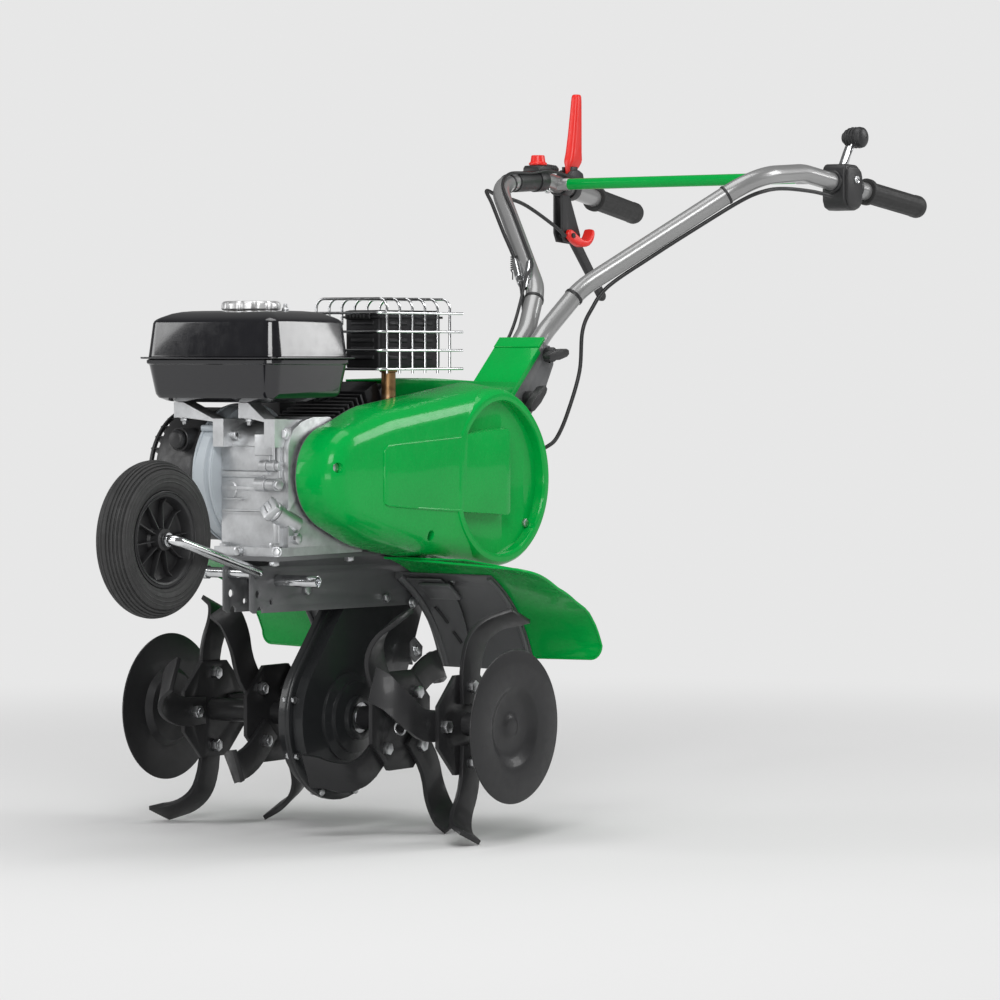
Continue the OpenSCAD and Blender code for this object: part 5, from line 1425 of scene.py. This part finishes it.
def tines_half(thick):
    """The eight tines of the left half: flat arms that sweep back and bend sideways to the tip."""
    steps = 8
    sections = [(r, lean, 0, 0, wide) for r, lean, wide in TINE_ARM]
    for k in range(steps + 1):
        tilt = TINE_TILT * k / steps
        a = math.radians(tilt)
        r, x = TINE_BEND_AT + TINE_BEND * math.sin(a), TINE_BEND * (1 - math.cos(a))
        sections.append((r, 7 + 13 * k / steps, tilt, x, 46.6 + 0.4 * k))
    sections.append((161.8, 22.5, TINE_TILT, 44, 50))
    blade = soften(loft("blade", [tine_ring(*section, thick) for section in sections]), 0.8, 2, 40)
    blade.data.transform(Matrix.Translation((6.55, 0, 0)))
    copies = []
    for x, first in TINE_PLATES:
        for k in range(4):
            facing = Matrix.Diagonal((-1 if k % 2 else 1, 1, 1, 1))
            turn = Matrix.Rotation(-math.radians(90 * k + first), 4, "X")
            copies.append(copied(blade, "tine", Matrix.Translation((x, 0, spot(AXLE).z)) @ turn @ facing))
    bpy.data.objects.remove(blade)
    return joined("tine_blades_left", copies)


def disc_shape():
    """Left side disc: flat rim, dished middle and a low hub."""
    outline = [(0, -2), (10, -2), (13, -2.6), (16, -4.4), (22, -5), (38, -5), (44, -3.6), (50, -0.4), (54, 2),
               (57.5, 3), (103.6, 3), (105, 2.5), (105.5, 1.4), (105, 0.4), (103.6, 0), (57, 0), (49, -8),
               (0, -8)]
    return smooth(lathe("disc", outline, (DISC_X, *spot(AXLE).yz), (1, 0, 0), 96), 40)


class TILLER_OT_covers(bpy.types.Operator):
    """Swells the belt cover and its backplate, rolls the fenders and folds the column's lip"""

    bl_idname = "tiller.covers"
    bl_label = "Covers and fenders"

    def execute(self, context):
        sizes, green = context.scene.tiller_sizes, FINISH["green_paint"]
        cover = joined("belt_cover_dressed", [dressed("belt_cover", 1.6, 3, 24, 0.3), panel_bead()])
        placed(swollen(cover, mm(sizes.swelling)), green, "belt_cover")
        backplate = swollen(dressed("belt_backplate", 0.6), mm(sizes.swelling))
        placed(backplate, FINISH[SLOT_OF["belt_backplate"]], "belt_backplate")
        placed(pair("fender_pair", fender_shape(mm(sizes.fender))), green, "fenders")
        placed(column_lip(), green, body=BODY_OF["column_cover"], slot="green_paint")
        return {"FINISHED"}


class TILLER_OT_tines(bpy.types.Operator):
    """Bends the sixteen tines and turns the two side discs"""

    bl_idname = "tiller.tines"
    bl_label = "Tines and discs"

    def execute(self, context):
        left = tines_half(mm(context.scene.tiller_sizes.tine))
        right = mirrored(left, "tine_blades_right")
        placed(left, FINISH[SLOT_OF["tines_left"]], "tines_left")
        placed(right, FINISH[SLOT_OF["tines_right"]], "tines_right")
        placed(pair("disc_pair", disc_shape()), FINISH[SLOT_OF["side_discs"]], "side_discs")
        return {"FINISHED"}


class TILLER_OT_guards(bpy.types.Operator):
    """Adds the pressed details and bolts of the rear guards"""

    bl_idname = "tiller.guards"
    bl_label = "Rear guards"

    def execute(self, context):
        for slot, pieces in guard_details().items():
            left = joined("guard_" + slot, pieces)
            placed(pair("guard_" + slot, left), FINISH[slot], body=BODY_OF["rear_guards"], slot=slot)
        return {"FINISHED"}


# Stage

# The camera: degrees round and up, its place from the tine axle's Y, and its lens in millimetres
VIEW_TURN, VIEW_RISE = 34.5, 2.0
EYE = (3.5200, -4.7169, 0.6691)
SENSOR, LENS = 36, 151.2
FLOOR_R = 60
# Soft boxes: name, place, aim, size and share of the key light's power
SOFT_BOXES = [
    ("key", (2.2, -3.4, 3.2), (0, -0.2, 0.45), (2.2, 1.6), 1.0),
    ("fill", (-3.4, -2.6, 1.8), (0, -0.2, 0.5), (1.6, 2.2), 0.45),
    ("rim", (2.6, 2.8, 2.4), (0, 0, 0.55), (1.4, 1.8), 0.5),
    ("top", (0, 0, 3.8), (0, 0, 0), (2.4, 2.4), 0.45),
    ("low", (1.6, -3.6, 0.5), (0, 0.1, 0.35), (2.4, 0.6), 0.22),
]


def pale_floor(colour):
    """Floor that fades into the same pale tone all round."""
    n = Nodes("pale_studio_floor")
    n.set(Base_Color=(*shade(colour, 0.86), 1), Specular_IOR_Level=0.1)
    n.gloss(n.noise(3.0, 2.0), 0.80, 0.90)
    away = n.add("ShaderNodeVectorMath", operation="LENGTH")
    n.link(n.place, away.inputs[0])
    fade = n.add("ShaderNodeMapRange", interpolation_type="SMOOTHSTEP")
    fade.inputs["From Min"].default_value = 0.8
    fade.inputs["From Max"].default_value = 2.6
    n.link(away.outputs["Value"], fade.inputs["Value"])
    glow = n.add("ShaderNodeEmission")
    glow.inputs["Color"].default_value = (*colour, 1)
    mix = n.add("ShaderNodeMixShader")
    n.link(fade.outputs["Result"], mix.inputs["Fac"])
    n.link(n.shader.outputs["BSDF"], mix.inputs[1])
    n.link(glow.outputs["Emission"], mix.inputs[2])
    n.link(mix.outputs["Shader"], n.tree.nodes["Material Output"].inputs["Surface"])
    return n.material


def soft_box(name, place, aim, size, power):
    """Area light at a place, turned to an aim."""
    light = bpy.data.lights.new(name, "AREA")
    light.shape = "RECTANGLE"
    light.size, light.size_y = size
    light.energy = power
    lamp = bpy.data.objects.new(name, light)
    bpy.context.scene.collection.objects.link(lamp)
    lamp.location = place
    lamp.rotation_euler = (Vector(aim) - Vector(place)).to_track_quat("-Z", "Y").to_euler()


def studio_world(colour, strength):
    """Even light all round, dimmer in reflections, with the floor's tone behind the object."""
    world = bpy.data.worlds.new("studio")
    bpy.context.scene.world = world
    world.use_nodes = True
    tree = world.node_tree
    path = tree.nodes.new("ShaderNodeLightPath")
    surface = tree.nodes["Background"]
    surface.inputs["Strength"].default_value = strength
    surface.inputs["Color"].default_value = (1, 1, 1, 1)
    for ray, tone in (("Is Glossy Ray", (strength * 0.4,) * 3), ("Is Camera Ray", colour)):
        back = tree.nodes.new("ShaderNodeBackground")
        back.inputs["Color"].default_value = (*tone, 1)
        mix = tree.nodes.new("ShaderNodeMixShader")
        tree.links.new(path.outputs[ray], mix.inputs["Fac"])
        tree.links.new(surface.outputs[0], mix.inputs[1])
        tree.links.new(back.outputs[0], mix.inputs[2])
        surface = mix
    tree.links.new(surface.outputs[0], tree.nodes["World Output"].inputs["Surface"])


def studio_camera():
    """Long lens at the photograph's angle."""
    camera = bpy.data.cameras.new("camera")
    camera.sensor_width = SENSOR
    camera.lens = LENS
    camera.clip_end = 200
    eye = bpy.data.objects.new("camera", camera)
    turn, rise = math.radians(VIEW_TURN), math.radians(VIEW_RISE)
    back = Vector((math.sin(turn) * math.cos(rise), -math.cos(turn) * math.cos(rise), math.sin(rise)))
    right = Vector((math.cos(turn), math.sin(turn), 0))
    aim = Matrix((right, back.cross(right), back)).transposed().to_4x4()
    eye.matrix_world = Matrix.Translation((EYE[0], AXLE.y + EYE[1], EYE[2])) @ aim
    return eye


class TILLER_OT_stage(bpy.types.Operator):
    """Lays the pale floor, hangs the soft lights and sets up the camera"""

    bl_idname = "tiller.stage"
    bl_label = "Stage"

    def execute(self, context):
        scene = context.scene
        stage = scene.tiller_stage
        object_mode()
        bpy.ops.object.select_all(action="DESELECT")
        bpy.ops.mesh.primitive_circle_add(vertices=96, radius=FLOOR_R, fill_type="NGON", location=(0, 0, 0))
        floor = context.object
        floor.name = "floor"
        floor.data.materials.append(pale_floor(stage.floor))
        for name, place, aim, size, share in SOFT_BOXES:
            soft_box(name, place, aim, size, stage.key * share)
        studio_world(stage.floor, stage.world)
        scene.camera = studio_camera()
        scene.collection.objects.link(scene.camera)
        scene.view_settings.view_transform = "Standard"
        return {"FINISHED"}


# Properties, panel and start


def colour_prop(name, description, default):
    """Colour that a user would change."""
    return bpy.props.FloatVectorProperty(
        name=name, description=description, subtype="COLOR", size=3, min=0.0, max=1.0, default=default
    )


def length_prop(name, description, millimetres):
    """Length that a user would change, kept in metres."""
    length = millimetres * MILLIMETRE
    return bpy.props.FloatProperty(
        name=name, description=description, unit="LENGTH", precision=4, min=0.0, default=length
    )


class TillerColours(bpy.types.PropertyGroup):
    """Colours of the finishes"""

    green: colour_prop("Green", "Gloss paint of the covers, fenders and cross bar", (0.0, 0.33, 0.05))
    charcoal: colour_prop("Charcoal", "Satin paint of the chassis and rear guards", (0.105, 0.107, 0.110))
    tines: colour_prop("Tines", "Satin paint of the tines and discs", (0.018, 0.018, 0.019))
    case: colour_prop("Case", "Paint of the chain case and rocker cover", (0.014, 0.015, 0.016))
    tank: colour_prop("Tank", "Gloss paint of the fuel tank", (0.007, 0.007, 0.009))
    alloy: colour_prop("Alloy", "Cast crankcase, carburettor and oil cap", (0.62, 0.63, 0.64))
    zinc: colour_prop("Zinc", "Plated bolts and small hardware", (0.60, 0.61, 0.62))
    chrome: colour_prop("Bright plate", "Wheel arm, muffler guard and bright fittings", (0.72, 0.73, 0.74))
    cap: colour_prop("Fuel cap", "Satin plating of the fuel cap", (0.78, 0.78, 0.78))
    tube: colour_prop("Tube", "Metallic grey of the handlebar tubes", (0.30, 0.30, 0.30))
    shroud: colour_prop("Shroud", "Blower housing", (0.42, 0.46, 0.49))
    plastic: colour_prop("Plastic", "Black moulded parts", (0.016, 0.016, 0.017))
    red: colour_prop("Red", "Red levers and latch", (0.72, 0.016, 0.010))
    rubber: colour_prop("Rubber", "Grips and drive belt", (0.014, 0.014, 0.014))
    tyre: colour_prop("Tyre", "Front wheel's tyre", (0.018, 0.018, 0.018))
    bronze: colour_prop("Pipe", "Heat-stained exhaust pipe", (0.33, 0.19, 0.09))
    iron: colour_prop("Iron", "Engine block and muffler", (0.030, 0.030, 0.032))


class TillerSizes(bpy.types.PropertyGroup):
    """Sizes that the solids leave open"""

    tread: length_prop("Tread", "Depth of the grooves round the tyre", 1.9)
    tank_flange: length_prop("Tank flange", "Width of the fold between the tank's tub and lid", 4.5)
    guard_wire: length_prop("Guard wire", "Radius of the muffler guard's wires", 1.9)
    bar_bend: length_prop("Bar bend", "Radius of the handle tubes' bends", 110)
    swelling: length_prop("Swelling", "How far the belt cover swells above and below", 17)
    fender: length_prop("Fender", "Thickness of the fenders' sheet", 2)
    tine: length_prop("Tine", "Thickness of the tines", 7)


class TillerStage(bpy.types.PropertyGroup):
    """Floor and light"""

    floor: colour_prop("Floor", "Pale floor and background", (0.80, 0.80, 0.80))
    key: bpy.props.FloatProperty(
        name="Key light", description="Power of the main soft box", default=105.0, min=0.0, unit="POWER"
    )
    world: bpy.props.FloatProperty(
        name="World", description="Strength of the even light all round", default=0.40, min=0.0
    )


class TILLER_OT_finishes(bpy.types.Operator):
    """Mixes every paint, plating, plastic and rubber"""

    bl_idname = "tiller.finishes"
    bl_label = "Finishes"

    def execute(self, context):
        make_finishes(context.scene.tiller_colours)
        for name, node in NODES.items():
            node.data.materials.clear()
            node.data.materials.append(FINISH[SLOT_OF[name]])
        return {"FINISHED"}


CLASSES = [
    TillerColours,
    TillerSizes,
    TillerStage,
    TILLER_OT_finishes,
    TILLER_OT_rounded,
    TILLER_OT_wheel,
    TILLER_OT_tank,
    TILLER_OT_crankcase,
    TILLER_OT_starter,
    TILLER_OT_exhaust,
    TILLER_OT_handlebar,
    TILLER_OT_controls,
    TILLER_OT_covers,
    TILLER_OT_tines,
    TILLER_OT_guards,
    TILLER_OT_stage,
]
STEPS = [c.bl_idname for c in CLASSES if hasattr(c, "bl_idname")]


class TILLER_PT_panel(bpy.types.Panel):
    """Lists the steps and the sizes and colours behind them"""

    bl_idname = "TILLER_PT_panel"
    bl_label = "Tiller"
    bl_space_type = "VIEW_3D"
    bl_region_type = "UI"
    bl_category = "Tiller"

    def draw(self, context):
        scene = context.scene
        for group in (scene.tiller_colours, scene.tiller_sizes, scene.tiller_stage):
            box = self.layout.box()
            for key in group.__annotations__:
                box.prop(group, key)
        for step in STEPS:
            self.layout.operator(step)


def register():
    """Adds the settings, steps and panel to Blender."""
    for c in (*CLASSES, TILLER_PT_panel):
        bpy.utils.register_class(c)
    bpy.types.Scene.tiller_colours = bpy.props.PointerProperty(type=TillerColours)
    bpy.types.Scene.tiller_sizes = bpy.props.PointerProperty(type=TillerSizes)
    bpy.types.Scene.tiller_stage = bpy.props.PointerProperty(type=TillerStage)


def unregister():
    """Takes them out again."""
    del bpy.types.Scene.tiller_stage
    del bpy.types.Scene.tiller_sizes
    del bpy.types.Scene.tiller_colours
    for c in (TILLER_PT_panel, *reversed(CLASSES)):
        bpy.utils.unregister_class(c)


def main():
    """Runs every step in order."""
    register()
    for step in STEPS:
        getattr(bpy.ops.tiller, step.split(".")[1])()


if __name__ == "__main__":
    main()
